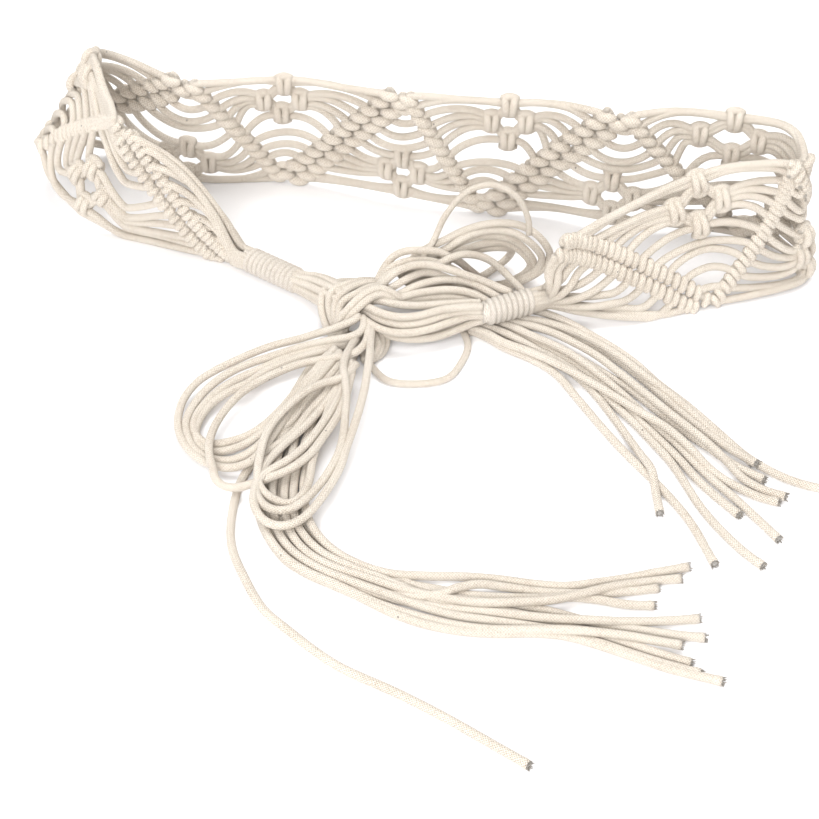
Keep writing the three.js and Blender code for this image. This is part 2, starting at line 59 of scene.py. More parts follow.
# The drawing frame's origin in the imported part, read off the right wrap
low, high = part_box("right_wrap")
wrapMiddle = (Vector(wraps["right_wrap"]["start"]) + Vector(wraps["right_wrap"]["end"])) / 2
origin = (low + high) / 2 - wrapMiddle * mm


def put(point):
    return origin + Vector(point) * mm


# Camera
view = {"height": 40.0, "distance": 757.0, "pixelsPerRadian": 2074.0, "photo": 819.0, "sensor": 36.0}
slope = math.radians(view["height"])
eye = Vector((0, -view["distance"] * math.cos(slope), view["distance"] * math.sin(slope)))
ahead = Vector((0, math.cos(slope), -math.sin(slope)))
above = Vector((0, math.sin(slope), math.cos(slope)))


def addCamera():
    data = bpy.data.cameras.new("camera")
    data.sensor_width = view["sensor"]
    data.lens = view["sensor"] * view["pixelsPerRadian"] / view["photo"]
    data.clip_start = 0.05
    data.clip_end = 20
    camera = bpy.data.objects.new("camera", data)
    bpy.context.scene.collection.objects.link(camera)
    camera.location = put(eye)
    camera.rotation_euler = ahead.to_track_quat("-Z", "Y").to_euler()
    bpy.context.scene.camera = camera


def atPixel(px, py, z):
    # The point at height z that stands behind a pixel of the photo
    middle = view["photo"] / 2
    across = (px - middle) / view["pixelsPerRadian"]
    down = (py - middle) / view["pixelsPerRadian"]
    ray = ahead + Vector((1, 0, 0)) * across - above * down
    return eye + ray * ((z - eye.z) / ray.z)


addCamera()
print("camera set")


# Materials
def newGroup(name, inputs, outputs):
    group = bpy.data.node_groups.new(name, "ShaderNodeTree")
    for label, kind, value in inputs:
        socket = group.interface.new_socket(label, in_out="INPUT", socket_type=kind)
        if value is not None:
            socket.default_value = value
    for label, kind in outputs:
        group.interface.new_socket(label, in_out="OUTPUT", socket_type=kind)
    return group, group.nodes.new("NodeGroupInput"), group.nodes.new("NodeGroupOutput")


def mathNode(tree, operation, a, b=None, clamp=False):
    node = tree.nodes.new("ShaderNodeMath")
    node.operation = operation
    node.use_clamp = clamp
    for socket, value in zip(node.inputs, (a, b)):
        if isinstance(value, (int, float)):
            socket.default_value = value
        elif value is not None:
            tree.links.new(value, socket)
    return node.outputs[0]


def mixColor(tree, factor, a, b):
    node = tree.nodes.new("ShaderNodeMix")
    node.data_type = "RGBA"
    for socket, value in ((node.inputs[0], factor), (node.inputs[6], a), (node.inputs[7], b)):
        if isinstance(value, bpy.types.NodeSocket):
            tree.links.new(value, socket)
        else:
            socket.default_value = value
    return node.outputs[2]


braidSizes = {
    "under": 0.5, "fuzzScale": 1500, "fuzzDetail": 2, "cloudScale": 60, "cloudDetail": 3,
    "speckScale": 230, "speckReach": 0.09, "speckRarity": 0.9, "speckColor": (0.16, 0.13, 0.11, 1),
    # The furrow amount is painted shade between the yarns; the cloud and fuzz amounts are the cord's own
    # uneven tone.
    "paintedFurrowShade": 0.65, "cloudShade": 0.6, "fuzzShade": 1.1, "fuzzHeight": 0.8,
    "smoothest": 0.72, "roughRange": 0.25,
}


def braidGroup():
    # Two families of slanted yarns that pass over each other, on a UV map of one cord girth a unit. The
    # furrows between the yarns carry painted shade in the colour.
    group, inside, outside = newGroup(
        "braidedCotton",
        [("Light", "NodeSocketColor", (0.9, 0.82, 0.68, 1)), ("DarkShadeAndTone", "NodeSocketColor", (0.6, 0.5, 0.36, 1)),
         ("Yarns", "NodeSocketFloat", 9.0), ("Specks", "NodeSocketFloat", 0.5)],
        [("Color", "NodeSocketColor"), ("Height", "NodeSocketFloat"), ("Roughness", "NodeSocketFloat")],
    )
    uv = group.nodes.new("ShaderNodeUVMap")
    uv.uv_map = "cordUV"
    split = group.nodes.new("ShaderNodeSeparateXYZ")
    group.links.new(uv.outputs[0], split.inputs[0])
    along, around = split.outputs[0], split.outputs[1]
    yarns = inside.outputs["Yarns"]
    plus = mathNode(group, "MULTIPLY", mathNode(group, "ADD", along, around), yarns)
    minus = mathNode(group, "MULTIPLY", mathNode(group, "SUBTRACT", along, around), yarns)
    ridgeA = mathNode(group, "ABSOLUTE", mathNode(group, "SINE", mathNode(group, "MULTIPLY", plus, math.pi)))
    ridgeB = mathNode(group, "ABSOLUTE", mathNode(group, "SINE", mathNode(group, "MULTIPLY", minus, math.pi)))
    overA = mathNode(group, "FLOOR", plus)
    overB = mathNode(group, "FLOOR", minus)
    parity = mathNode(group, "PINGPONG", mathNode(group, "ADD", overA, overB), 1.0)
    flipped = mathNode(group, "SUBTRACT", 1.0, parity)

    def yarnHeight(ridge, isOver):
        under = braidSizes["under"]
        lift = mathNode(group, "ADD", mathNode(group, "MULTIPLY", isOver, 1 - under), under)
        return mathNode(group, "MULTIPLY", ridge, lift)

    heightA, heightB = yarnHeight(ridgeA, parity), yarnHeight(ridgeB, flipped)
    height = mathNode(group, "MAXIMUM", heightA, heightB)

    place = group.nodes.new("ShaderNodeTexCoord")

    def noise(kind):
        node = group.nodes.new("ShaderNodeTexNoise")
        node.inputs["Scale"].default_value = braidSizes[kind + "Scale"]
        node.inputs["Detail"].default_value = braidSizes[kind + "Detail"]
        group.links.new(place.outputs["Object"], node.inputs["Vector"])
        return node.outputs["Fac"]

    fuzz, cloud = noise("fuzz"), noise("cloud")
    speck = group.nodes.new("ShaderNodeTexVoronoi")
    speck.inputs["Scale"].default_value = braidSizes["speckScale"]
    group.links.new(place.outputs["Object"], speck.inputs["Vector"])
    dot = mathNode(group, "LESS_THAN", speck.outputs["Distance"], braidSizes["speckReach"])
    rare = group.nodes.new("ShaderNodeSeparateColor")
    group.links.new(speck.outputs["Color"], rare.inputs[0])
    isRare = mathNode(group, "GREATER_THAN", rare.outputs[0], braidSizes["speckRarity"])
    dot = mathNode(group, "MULTIPLY", dot, isRare)
    dot = mathNode(group, "MULTIPLY", dot, inside.outputs["Specks"])

    # Painted shade: the lower the yarn height, the more the colour goes to the dark colour, standing in for
    # the shade between the yarns. The cloud and fuzz noise add the cord's own uneven tone.
    furrow = mathNode(group, "SUBTRACT", 1.0, height)
    paintedShadeAndTone = mathNode(group, "MULTIPLY", furrow, braidSizes["paintedFurrowShade"])
    cloudy = mathNode(group, "SUBTRACT", cloud, 0.5)
    paintedShadeAndTone = mathNode(group, "ADD", paintedShadeAndTone, mathNode(group, "MULTIPLY", cloudy, braidSizes["cloudShade"]))
    fuzzy = mathNode(group, "SUBTRACT", fuzz, 0.5)
    fuzzy = mathNode(group, "MULTIPLY", fuzzy, braidSizes["fuzzShade"])
    paintedShadeAndTone = mathNode(group, "ADD", paintedShadeAndTone, fuzzy, clamp=True)
    color = mixColor(group, paintedShadeAndTone, inside.outputs["Light"], inside.outputs["DarkShadeAndTone"])
    color = mixColor(group, dot, color, braidSizes["speckColor"])
    group.links.new(color, outside.inputs["Color"])
    fuzzRelief = mathNode(group, "MULTIPLY", fuzz, braidSizes["fuzzHeight"])
    relief = mathNode(group, "ADD", height, fuzzRelief)
    group.links.new(relief, outside.inputs["Height"])
    rough = mathNode(group, "MULTIPLY", paintedShadeAndTone, braidSizes["roughRange"])
    rough = mathNode(group, "ADD", rough, braidSizes["smoothest"], clamp=True)
    group.links.new(rough, outside.inputs["Roughness"])
    return group


# Light is the cord's own colour. The dark colour is where the painted shade in the braid's furrows goes,
# together with the cord's own darker tone.
cotton = {
    "cottonCord": {"light": (0.82, 0.75, 0.655, 1), "darkShadeAndTone": (0.42, 0.32, 0.225, 1), "specks": 0.7},
    "cottonWrap": {"light": (0.81, 0.75, 0.675, 1), "darkShadeAndTone": (0.43, 0.34, 0.25, 1), "specks": 0.4},
    "cutCord": {"light": (0.80, 0.76, 0.71, 1), "darkShadeAndTone": (0.40, 0.36, 0.32, 1), "specks": 1.0},
}

cottonShader = {"sheen": 0.25, "sheenRoughness": 0.5, "specular": 0.25, "bump": 1.0, "bumpDepth": 0.4 * mm}


def cottonMaterial(name, group):
    values = cotton[name]
    material = bpy.data.materials.new(name)
    material.use_nodes = True
    tree = material.node_tree
    shader = tree.nodes["Principled BSDF"]
    shader.inputs["Sheen Weight"].default_value = cottonShader["sheen"]
    shader.inputs["Sheen Roughness"].default_value = cottonShader["sheenRoughness"]
    shader.inputs["Specular IOR Level"].default_value = cottonShader["specular"]
    braid = tree.nodes.new("ShaderNodeGroup")
    braid.node_tree = group
    braid.inputs["Light"].default_value = values["light"]
    braid.inputs["DarkShadeAndTone"].default_value = values["darkShadeAndTone"]
    braid.inputs["Specks"].default_value = values["specks"]
    bump = tree.nodes.new("ShaderNodeBump")
    bump.inputs["Strength"].default_value = cottonShader["bump"]
    bump.inputs["Distance"].default_value = cottonShader["bumpDepth"]
    tree.links.new(braid.outputs["Color"], shader.inputs["Base Color"])
    tree.links.new(braid.outputs["Roughness"], shader.inputs["Roughness"])
    tree.links.new(braid.outputs["Height"], bump.inputs["Height"])
    tree.links.new(bump.outputs["Normal"], shader.inputs["Normal"])
    return material


braid = braidGroup()
materials = {name: cottonMaterial(name, braid) for name in cotton}
print("materials made")

# A round cord
cordSizes = {
    "radius": 1.5, "sides": 12, "step": 1.5, "wander": 0.18, "heldWander": 0.12, "cutFlare": (1.1, 1.06),
    "dome": 0.5, "capUV": ((0, 0), (0.3, 0), (0.15, 0.3)),
}
sway = {"fade": 8.0, "shortest": 5, "longest": 16, "upShare": 0.5}


def smoothLine(points, step):
    # A smooth line through the points, cut in even steps. Each row may carry extra columns after x, y, z.
    rows = np.array(points, float)
    if len(rows) == 2:
        rows = np.array([rows[0], (rows[0] + rows[1]) / 2, rows[1]])
    padded = np.vstack([2 * rows[0] - rows[1], rows, 2 * rows[-1] - rows[-2]])
    fine = []
    for i in range(1, len(padded) - 2):
        p = padded[i - 1:i + 3]
        gaps = np.sqrt(np.maximum(1e-6, np.linalg.norm(np.diff(p[:, :3], axis=0), axis=1)))
        t = np.concatenate([[0], np.cumsum(gaps)])
        count = max(4, int(gaps[1] ** 2 / (step * 0.25)))
        for s in np.linspace(t[1], t[2], count, endpoint=False):
            a1 = p[0] + (p[1] - p[0]) * (s - t[0]) / (t[1] - t[0])
            a2 = p[1] + (p[2] - p[1]) * (s - t[1]) / (t[2] - t[1])
            a3 = p[2] + (p[3] - p[2]) * (s - t[2]) / (t[3] - t[2])
            b1 = a1 + (a2 - a1) * (s - t[0]) / (t[2] - t[0])
            b2 = a2 + (a3 - a2) * (s - t[1]) / (t[3] - t[1])
            fine.append(b1 + (b2 - b1) * (s - t[1]) / (t[2] - t[1]))
    fine.append(rows[-1])
    fine = np.array(fine)
    run = np.concatenate([[0], np.cumsum(np.linalg.norm(np.diff(fine[:, :3], axis=0), axis=1))])
    count = max(2, round(run[-1] / step))
    places = np.linspace(0, run[-1], count + 1)
    return np.array([[np.interp(s, run, fine[:, k]) for k in range(fine.shape[1])] for s in places])


def wandering(line, amount):
    # A slow, small sway that keeps cords from looking drawn with a ruler
    line = line.copy()
    run = np.concatenate([[0], np.cumsum(np.linalg.norm(np.diff(line[:, :3], axis=0), axis=1))])
    fade = np.clip(np.minimum(run, run[-1] - run) / sway["fade"], 0, 1)
    for axis in range(3):
        wave = 0
        for _ in range(2):
            strength = math.sin(random.uniform(0, 6))
            turns = run / random.uniform(sway["shortest"], sway["longest"])
            wave = wave + strength * np.sin(turns + random.uniform(0, 6))
        line[:, axis] += wave * amount * fade * (sway["upShare"] if axis == 2 else 1)
    return line


def sweep(mesh, line, radius, sides, cut=False):
    # A tube along the line. radius is a number or one for each point. With cut, the far end is a cut face
    points = [Vector(p[:3]) for p in line]
    count = len(points)
    radii = [radius] * count if isinstance(radius, (int, float)) else list(radius)
    uvs = mesh.loops.layers.uv.verify()
    phase = random.random()
    tangents = [(points[min(count - 1, i + 1)] - points[max(0, i - 1)]).normalized() for i in range(count)]
    side = tangents[0].orthogonal().normalized()
    rings = []
    run = [random.random() * 3]
    for i in range(count):
        if i:
            run.append(run[-1] + (points[i] - points[i - 1]).length / (2 * math.pi * cordSizes["radius"]))
        side = (side - tangents[i] * side.dot(tangents[i])).normalized()
        other = tangents[i].cross(side)
        ring = []
        for j in range(sides):
            angle = 2 * math.pi * j / sides
            offset = (side * math.cos(angle) + other * math.sin(angle)) * radii[i]
            ring.append(mesh.verts.new(put(points[i] + offset)))
        rings.append(ring)
    for i in range(count - 1):
        for j in range(sides):
            k = (j + 1) % sides
            face = mesh.faces.new((rings[i][j], rings[i][k], rings[i + 1][k], rings[i + 1][j]))
            face.smooth = True
            corners = ((i, j), (i, j + 1), (i + 1, j + 1), (i + 1, j))
            for loop, (a, b) in zip(face.loops, corners):
                loop[uvs].uv = (run[a], b / sides + phase)
    for index, ring in ((0, rings[0][::-1]), (count - 1, rings[-1])):
        isCut = cut and index > 0
        dome = 0.0 if isCut else cordSizes["dome"] * radii[index]
        centre = points[index] + tangents[index] * dome * (1 if index else -1)
        tip = mesh.verts.new(put(centre))
        for j in range(sides):
            face = mesh.faces.new((ring[j], ring[(j + 1) % sides], tip))
            face.smooth = not isCut
            face.material_index = 1 if isCut else 0
            for loop, spot in zip(face.loops, cordSizes["capUV"]):
                loop[uvs].uv = spot


fray = {
    "threads": 16, "sides": 4, "radius": 0.17, "longest": 1.7, "shortest": 0.7, "spread": 0.55,
    "leastSpread": 0.2, "lowest": 0.3, "jitter": 0.3, "rim": (0.6, 0.97), "sunk": 0.3, "taper": 0.5,
}


def frayedEnd(mesh, tip, onward, radius):
    # Loose threads round a cut end
    side = onward.orthogonal().normalized()
    other = onward.cross(side)
    for i in range(fray["threads"]):
        angle = 2 * math.pi * (i + random.uniform(-fray["jitter"], fray["jitter"])) / fray["threads"]
        out = side * math.cos(angle) + other * math.sin(angle)
        foot = tip + out * radius * random.uniform(*fray["rim"]) - onward * fray["sunk"]
        long = random.uniform(fray["shortest"], fray["longest"])
        points = []
        for s in (0, 0.5, 1):
            outwards = long * fray["spread"] * s * s * random.uniform(fray["leastSpread"], 1)
            points.append(foot + onward * long * s + out * outwards)
        for point in points:
            point.z = max(fray["lowest"], point.z)
        radii = [fray["radius"], fray["radius"], fray["radius"] * fray["taper"]]
        sweep(mesh, points, radii, fray["sides"])


def finishPiece(name, mesh, nodes, surface="cottonCord"):
    bmesh.ops.recalc_face_normals(mesh, faces=mesh.faces[:])
    data = bpy.data.meshes.new(name)
    mesh.to_mesh(data)
    mesh.free()
    data.uv_layers[0].name = "cordUV"
    data.materials.append(materials[surface])
    data.materials.append(materials["cutCord"])
    piece = bpy.data.objects.new(name, data)
    bpy.context.scene.collection.objects.link(piece)
    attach(piece, body)
    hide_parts(*nodes)
    return piece


def freeCord(name, points, nodes, farEnd="bare", radius=cordSizes["radius"]):
    line = wandering(smoothLine(points, cordSizes["step"]), cordSizes["wander"])
    line[:, 2] = np.maximum(line[:, 2], radius)
    mesh = bmesh.new()
    radii = [radius] * len(line)
    if farEnd == "bare":
        radii[-2] = radius * cordSizes["cutFlare"][0]
        radii[-1] = radius * cordSizes["cutFlare"][1]
        tip = Vector(line[-1][:3])
        frayedEnd(mesh, tip, (tip - Vector(line[-3][:3])).normalized(), radius)
    sweep(mesh, line, radii, cordSizes["sides"], cut=farEnd == "bare")
    piece = finishPiece(name, mesh, nodes)


# The tails: x, y and height of points along each cord, from the knot to its cut end
leftTail = [
    [(-18, 42, 4.2), (-26, 10, 4.2), (-33, -20, 4.2), (-36.5, -45, 4.2), (-34.5, -63, 4.2), (-31, -71, 4.2),
     (-25, -78.5, 4.2), (-17, -84.5, 4), (-7, -88.5, 3.4), (5, -88.5, 2.2), (17, -88, 1.5), (28, -89.3, 1.5),
     (40, -91.5, 1.5), (52, -92.5, 1.5), (62, -91, 1.5), (72, -89, 1.5), (82, -86, 1.5), (93, -83.5, 1.5)],
    [(-24, 41, 4.2), (-34, 10, 4.2), (-40.5, -20, 4.2), (-43, -46, 4.2), (-41.5, -65, 4.2),
     (-38.5, -73.5, 4.2), (-32.5, -81, 4.2), (-24.5, -86.5, 4.2), (-15, -90.5, 4), (-5, -94.5, 3.4),
     (5, -98, 3.2), (15, -101, 3.6), (25, -102.9, 4.2), (35, -102.7, 4.2), (45, -101.8, 4.2),
     (53, -99.8, 4.2), (61, -96.8, 3.8), (70, -93.3, 2.8), (80, -90.3, 1.5), (90, -89, 1.5)],
    [(-22, 43, 1.5), (-33, 8, 1.5), (-42, -22, 1.5), (-45, -46, 1.5), (-43, -63, 1.5), (-40, -71.5, 1.5),
     (-34, -79.5, 1.5), (-26.5, -86, 1.5), (-18, -91.5, 1.5), (-8, -96, 1.5), (2, -98.3, 2.4),
     (10, -98.3, 3.8), (16, -96, 4.3), (23, -93.9, 3.8), (31, -93.6, 2.2), (42, -95, 1.5), (53, -96, 1.5),
     (63, -96, 1.5), (73, -95, 1.5), (82, -93.5, 1.5)],
    [(-19, 44, 1.5), (-29, 12, 1.5), (-37, -18, 1.5), (-41, -46, 1.5), (-39.5, -62, 1.5), (-36.5, -69.5, 1.5),
     (-30.5, -77, 1.5), (-22.5, -83, 1.5), (-13, -87.5, 1.5), (-3, -91, 1.5), (8, -94, 1.5), (19, -96.5, 1.5),
     (31, -97.5, 1.5), (43, -98, 1.5), (53, -98, 1.5), (62, -99, 1.5), (71, -101, 1.5), (80, -101.5, 1.5)],
    [(-25, 39, 1.5), (-37, 6, 1.5), (-47, -24, 1.5), (-50, -48, 1.5), (-46.5, -64, 1.5), (-43.5, -73, 1.5),
     (-38, -81, 1.5), (-30.5, -87.5, 1.5), (-21, -92.5, 1.5), (-11, -96.5, 1.5), (0, -100, 1.5),
     (12, -102.6, 1.5), (24, -104.6, 2), (36, -107.5, 3), (47, -109.8, 4), (58, -110.6, 4.2),
     (68, -110.6, 3.4), (80, -109.2, 2), (94, -107.5, 1.5)],
    [(-17, 46, 1.5), (-25, 14, 1.5), (-33, -16, 1.5), (-37, -44, 1.5), (-36, -61, 1.5), (-32.5, -68, 1.5),
     (-26.5, -75.5, 1.5), (-18.5, -81.5, 1.5), (-9, -86.5, 1.5), (1, -91.5, 1.5), (12, -97, 1.5),
     (23, -99.9, 1.5), (34, -101.5, 1.5), (45, -104, 1.5), (54, -107.2, 1.5), (63, -110.5, 1.5),
     (73, -112.5, 1.5), (84, -114.5, 1.5), (95, -116, 1.5)],
    [(-27, 38, 4.2), (-39, 6, 4.2), (-49, -24, 4.2), (-52, -48, 4.2), (-49.5, -66, 4.2), (-46, -75, 4.2),
     (-41, -82.5, 4.2), (-34, -88.5, 4), (-25, -93, 3.2), (-16, -97.5, 2), (-7, -102.3, 1.5),
     (3, -106.6, 1.5), (13, -109.8, 1.5), (24, -112.4, 2), (35, -114, 3), (47, -115, 4), (60, -116.2, 4.2),
     (72, -117.8, 4), (80, -119, 3.2), (87, -120, 2.2)],
    [(-20, 40, 4.2), (-30, 8, 4.2), (-37, -22, 4.2), (-40, -46, 4.2), (-38.5, -64, 4.2), (-35, -72, 4.2),
     (-29, -79.5, 4.2), (-20.5, -85.5, 4.2), (-11, -90, 3.6), (-2, -94.6, 3), (8, -99.5, 2),
     (20, -102.2, 1.5), (31, -104, 1.5), (41, -107, 1.5), (51, -110.5, 1.5), (61, -114.5, 1.5),
     (71, -119, 1.5), (80, -123.4, 1.5), (89.5, -127, 1.5)],
    [(-23, 44, 6.6), (-35, 12, 6), (-44, -18, 4.6), (-47.5, -46, 4.2), (-45.5, -64, 4.2),
     (-42.5, -73.5, 4.2), (-37, -81.3, 4.2), (-29.5, -87.2, 4), (-20, -92, 3.6), (-10, -96.5, 3),
     (1, -101, 2), (13, -105.3, 1.5), (25, -108, 1.5), (37, -110.5, 1.5), (48, -113, 1.5), (59, -117.3, 1.5),
     (70, -122.6, 1.5), (81, -127.4, 1.5), (92, -131.5, 1.5)],
    [(-26, 42, 6.6), (-41, 8, 4), (-51, -22, 1.5), (-53, -46, 1.5), (-50.5, -62, 1.5), (-47, -71.5, 1.5),
     (-42, -80, 1.5), (-34.5, -86.5, 1.5), (-26, -91.5, 1.5), (-16, -97.5, 1.5), (-6, -104.5, 1.5),
     (5, -110, 1.5), (17, -113.3, 1.5), (29, -114.2, 1.5), (40, -113.8, 1.5), (50, -115, 1.5),
     (61, -119.2, 1.5), (73, -125, 1.5), (85, -130.6, 1.5), (98.5, -135, 1.5)],
]

rightTail = [
    [(2, 46, 1.5), (14, 47, 1.5), (26, 43, 1.5), (36, 34.5, 1.5), (46, 27.5, 1.5), (53.5, 20, 1.5),
     (62, 3, 1.5), (70, -13, 1.5), (78, -28, 1.5), (84.5, -39, 1.5), (90, -49, 1.5), (96, -62, 1.5),
     (102, -82, 1.5)],
    [(4, 47, 3.8), (18, 48, 4.2), (32, 43, 4.2), (44, 35, 3), (54, 27, 1.5), (61, 18.5, 1.5), (67, 9, 1.5),
     (72, -2, 1.5), (77, -14, 1.5), (81.5, -27, 2.6), (84.6, -38, 4.4), (85.3, -47, 2.6), (86, -57, 1.5)],
    [(6, 45, 1.5), (20, 47, 1.5), (33, 45, 1.5), (43, 37, 1.5), (54, 28, 1.5), (64, 17, 1.5), (72, 5, 1.5),
     (79, -6, 1.5), (86, -18.5, 1.5), (92, -30, 1.5), (96, -41, 1.5), (100, -53, 1.5), (105, -64, 1.5),
     (112, -76, 1.5), (118, -83, 1.5)],
    [(8, 50, 1.5), (24, 50, 1.5), (37, 45, 1.5), (48, 37, 1.5), (59, 27.5, 1.5), (69, 15.5, 1.5),
     (77, 3, 1.5), (84, -9, 1.5), (90, -20, 1.5), (96, -30.5, 1.5), (101, -40, 1.5), (107, -50, 1.5),
     (113, -58, 1.5)],
    [(6, 52, 3), (22, 52, 4.2), (36, 46, 4.2), (47, 38, 4.2), (57, 30, 4.2), (66, 20.5, 4), (74, 10.5, 3.4),
     (82, -0.5, 2.4), (89, -11.5, 1.5), (95, -20.5, 1.5), (100, -30, 1.5), (106, -40, 1.5), (112, -48.7, 1.5),
     (119, -60, 1.5), (125, -70, 1.5)],
    [(4, 44, 4.4), (18, 45, 4.4), (28, 41, 4.4), (36, 34, 4.4), (46, 27.5, 4.4), (56, 20, 4.4), (66, 11, 4.4),
     (75, 2, 4.4), (84, -7, 4.4), (92, -15.5, 4.4), (99, -25, 3.8), (105.5, -35, 2.4), (112, -42, 1.5),
     (120, -48.5, 1.5), (127.5, -51.5, 1.5)],
    [(8, 48, 4.2), (24, 50, 4.2), (42, 46, 4.2), (52, 41.5, 4.2), (62, 33.5, 4.2), (71, 25, 4.2),
     (78, 16, 4.2), (85, 6, 4.2), (92, -4, 4.2), (99.5, -14.5, 4.2), (106, -23, 3.4), (112, -32, 2.4),
     (117, -40, 1.8), (123, -46, 2.2), (130, -50, 2.6)],
    [(10, 52, 1.5), (28, 54, 1.5), (46, 51, 1.5), (58, 45, 1.5), (68, 37, 1.5), (77, 28, 1.5),
     (85, 17.5, 1.5), (93, 5.5, 1.5), (100, -5.5, 1.5), (107.5, -15.5, 1.5), (115, -25, 2),
     (122, -33.5, 3.4)],
    [(8, 46, 1.5), (24, 47, 1.5), (42, 42, 1.5), (53, 35, 1.5), (63, 28, 1.5), (73, 18.5, 1.5),
     (82, 8.5, 1.5), (91, -3.5, 1.5), (99, -14.5, 1.5), (107.5, -24, 1.5), (115.5, -33, 1.5),
     (124, -40, 1.5)],
    [(12, 50, 4.2), (30, 54, 4.2), (48, 54, 4.2), (60, 47, 4.2), (69, 38.5, 4.2), (77, 31, 3.6),
     (84.5, 23, 2.6), (92, 13, 1.5), (99, 3.5, 1.5), (106, -7, 1.5), (112.5, -17, 1.5), (120, -28.5, 1.5),
     (128, -36.5, 1.5), (137, -42, 1.5), (150, -46.5, 1.5)],
    [(14, 46, 4.2), (32, 49, 4.2), (48, 48, 4.2), (60, 42.5, 4.2), (70, 34.5, 4.2), (79, 25.5, 4),
     (87.5, 15, 3.4), (95, 5.5, 2.8), (102, -4, 2.2), (109, -14, 1.6), (115, -22.5, 1.5), (121, -31, 1.5)],
]

loneCord = [
    (-54, -28, 1.5), (-59, -41, 1.5), (-61, -57, 1.5), (-60, -73, 1.5), (-55, -88, 1.5), (-48, -103, 1.5),
    (-39, -113, 1.5), (-23, -128, 1.5), (-4, -140, 1.5), (14, -152, 1.5), (36, -169, 1.5),
]

for number, points in enumerate(leftTail, 1):
    freeCord(f"left_tail_cord_{number}", points, ["left_tail"])
for number, points in enumerate(rightTail, 1):
    freeCord(f"right_tail_cord_{number}", points, ["right_tail"])
freeCord("lone_cord", loneCord, ["lone_strand"])
print("tails laid")

# The bow's loops: pixel across, pixel down and height
leftLoops = [
    [(359, 315.4, 13), (353.6, 320.7, 12.5), (342.9, 325.2, 12), (331.3, 329.6, 11.5), (317.9, 333.2, 11),
     (300, 338.6, 10.5), (271, 346, 10), (245.7, 355.5, 9), (213.8, 371, 7.5), (197.8, 382, 6.5),
     (184.3, 398.9, 5.5), (178.9, 414.8, 4.5), (178.9, 429.2, 4), (184.8, 443.5, 3.5), (195, 455, 3),
     (209, 463.5, 3), (225, 467.5, 3.5), (239.3, 466, 4.5), (252, 460, 6), (264, 447, 7), (280, 425, 8),
     (300, 399, 8.5), (318, 378, 9), (340, 352, 9)],
    [(362.5, 317, 12), (364.3, 322.5, 12), (360.7, 331.4, 11.5), (350, 336.8, 11), (335.7, 339.5, 10.5),
     (317.9, 343, 10), (300, 347.5, 9.5), (271.2, 356.6, 9), (252, 363, 8.5), (233, 371, 8), (216, 381.5, 7),
     (200, 396, 6), (189.5, 411, 5), (185.5, 422.5, 4.5), (187, 434, 4), (192, 445, 3.5), (201, 454, 3),
     (215, 459.5, 3), (231, 460.5, 3.5), (246, 455, 5), (258, 446, 6), (274, 428, 7), (292, 404, 8),
     (310, 381, 9), (332, 355, 9)],
    [(356, 336, 8.5), (340, 343.5, 8.5), (322, 347, 8.5), (303, 352, 8), (286, 358, 8), (265, 367, 7.5),
     (248, 374, 7), (232, 381.5, 6.5), (217, 391, 6), (204, 404, 5.5), (196, 416, 5), (193.5, 427, 4.5),
     (197, 437, 4), (206, 444, 4), (218, 444.5, 4), (232, 441.5, 4.5), (247, 436, 5), (262, 426.5, 6),
     (278, 412, 7), (294, 394, 8), (310, 376, 9), (328, 354, 9)],
    [(350, 341, 7), (338, 347, 7), (322, 351, 7.5), (304, 356, 8), (286, 362, 8), (266, 371, 7.5),
     (249, 382.5, 7), (229.7, 391.5, 6), (211.5, 404, 5), (200, 418, 4.5), (195.5, 431, 4), (197, 441, 3.5),
     (204, 449, 3), (216, 451.5, 3), (233, 449, 3.5), (248.9, 442.5, 5), (264.8, 430.8, 6),
     (282.4, 411.6, 7), (300, 391, 8), (318, 368, 9), (335, 348, 9)],
    [(367.9, 322.5, 11), (367.9, 333, 11), (365.5, 342, 11), (358.9, 350, 10.5), (350, 354.6, 10),
     (335.7, 357.3, 10), (322.3, 359, 10), (300, 363.5, 10), (283.9, 369.5, 9.5), (262, 380, 9),
     (241, 393.5, 8.5), (225.5, 409.5, 8), (214.5, 426, 7.5), (209.5, 443, 7.5), (210, 456, 7),
     (213.5, 469, 6.5), (216, 480, 6), (225, 487, 5.5), (238, 488, 5.5), (252, 484, 6.5), (271, 477, 9),
     (290, 468.5, 10), (309.5, 454, 10), (323.8, 436.6, 10), (338.2, 415, 10), (345, 398, 10),
     (352, 372, 10)],
]

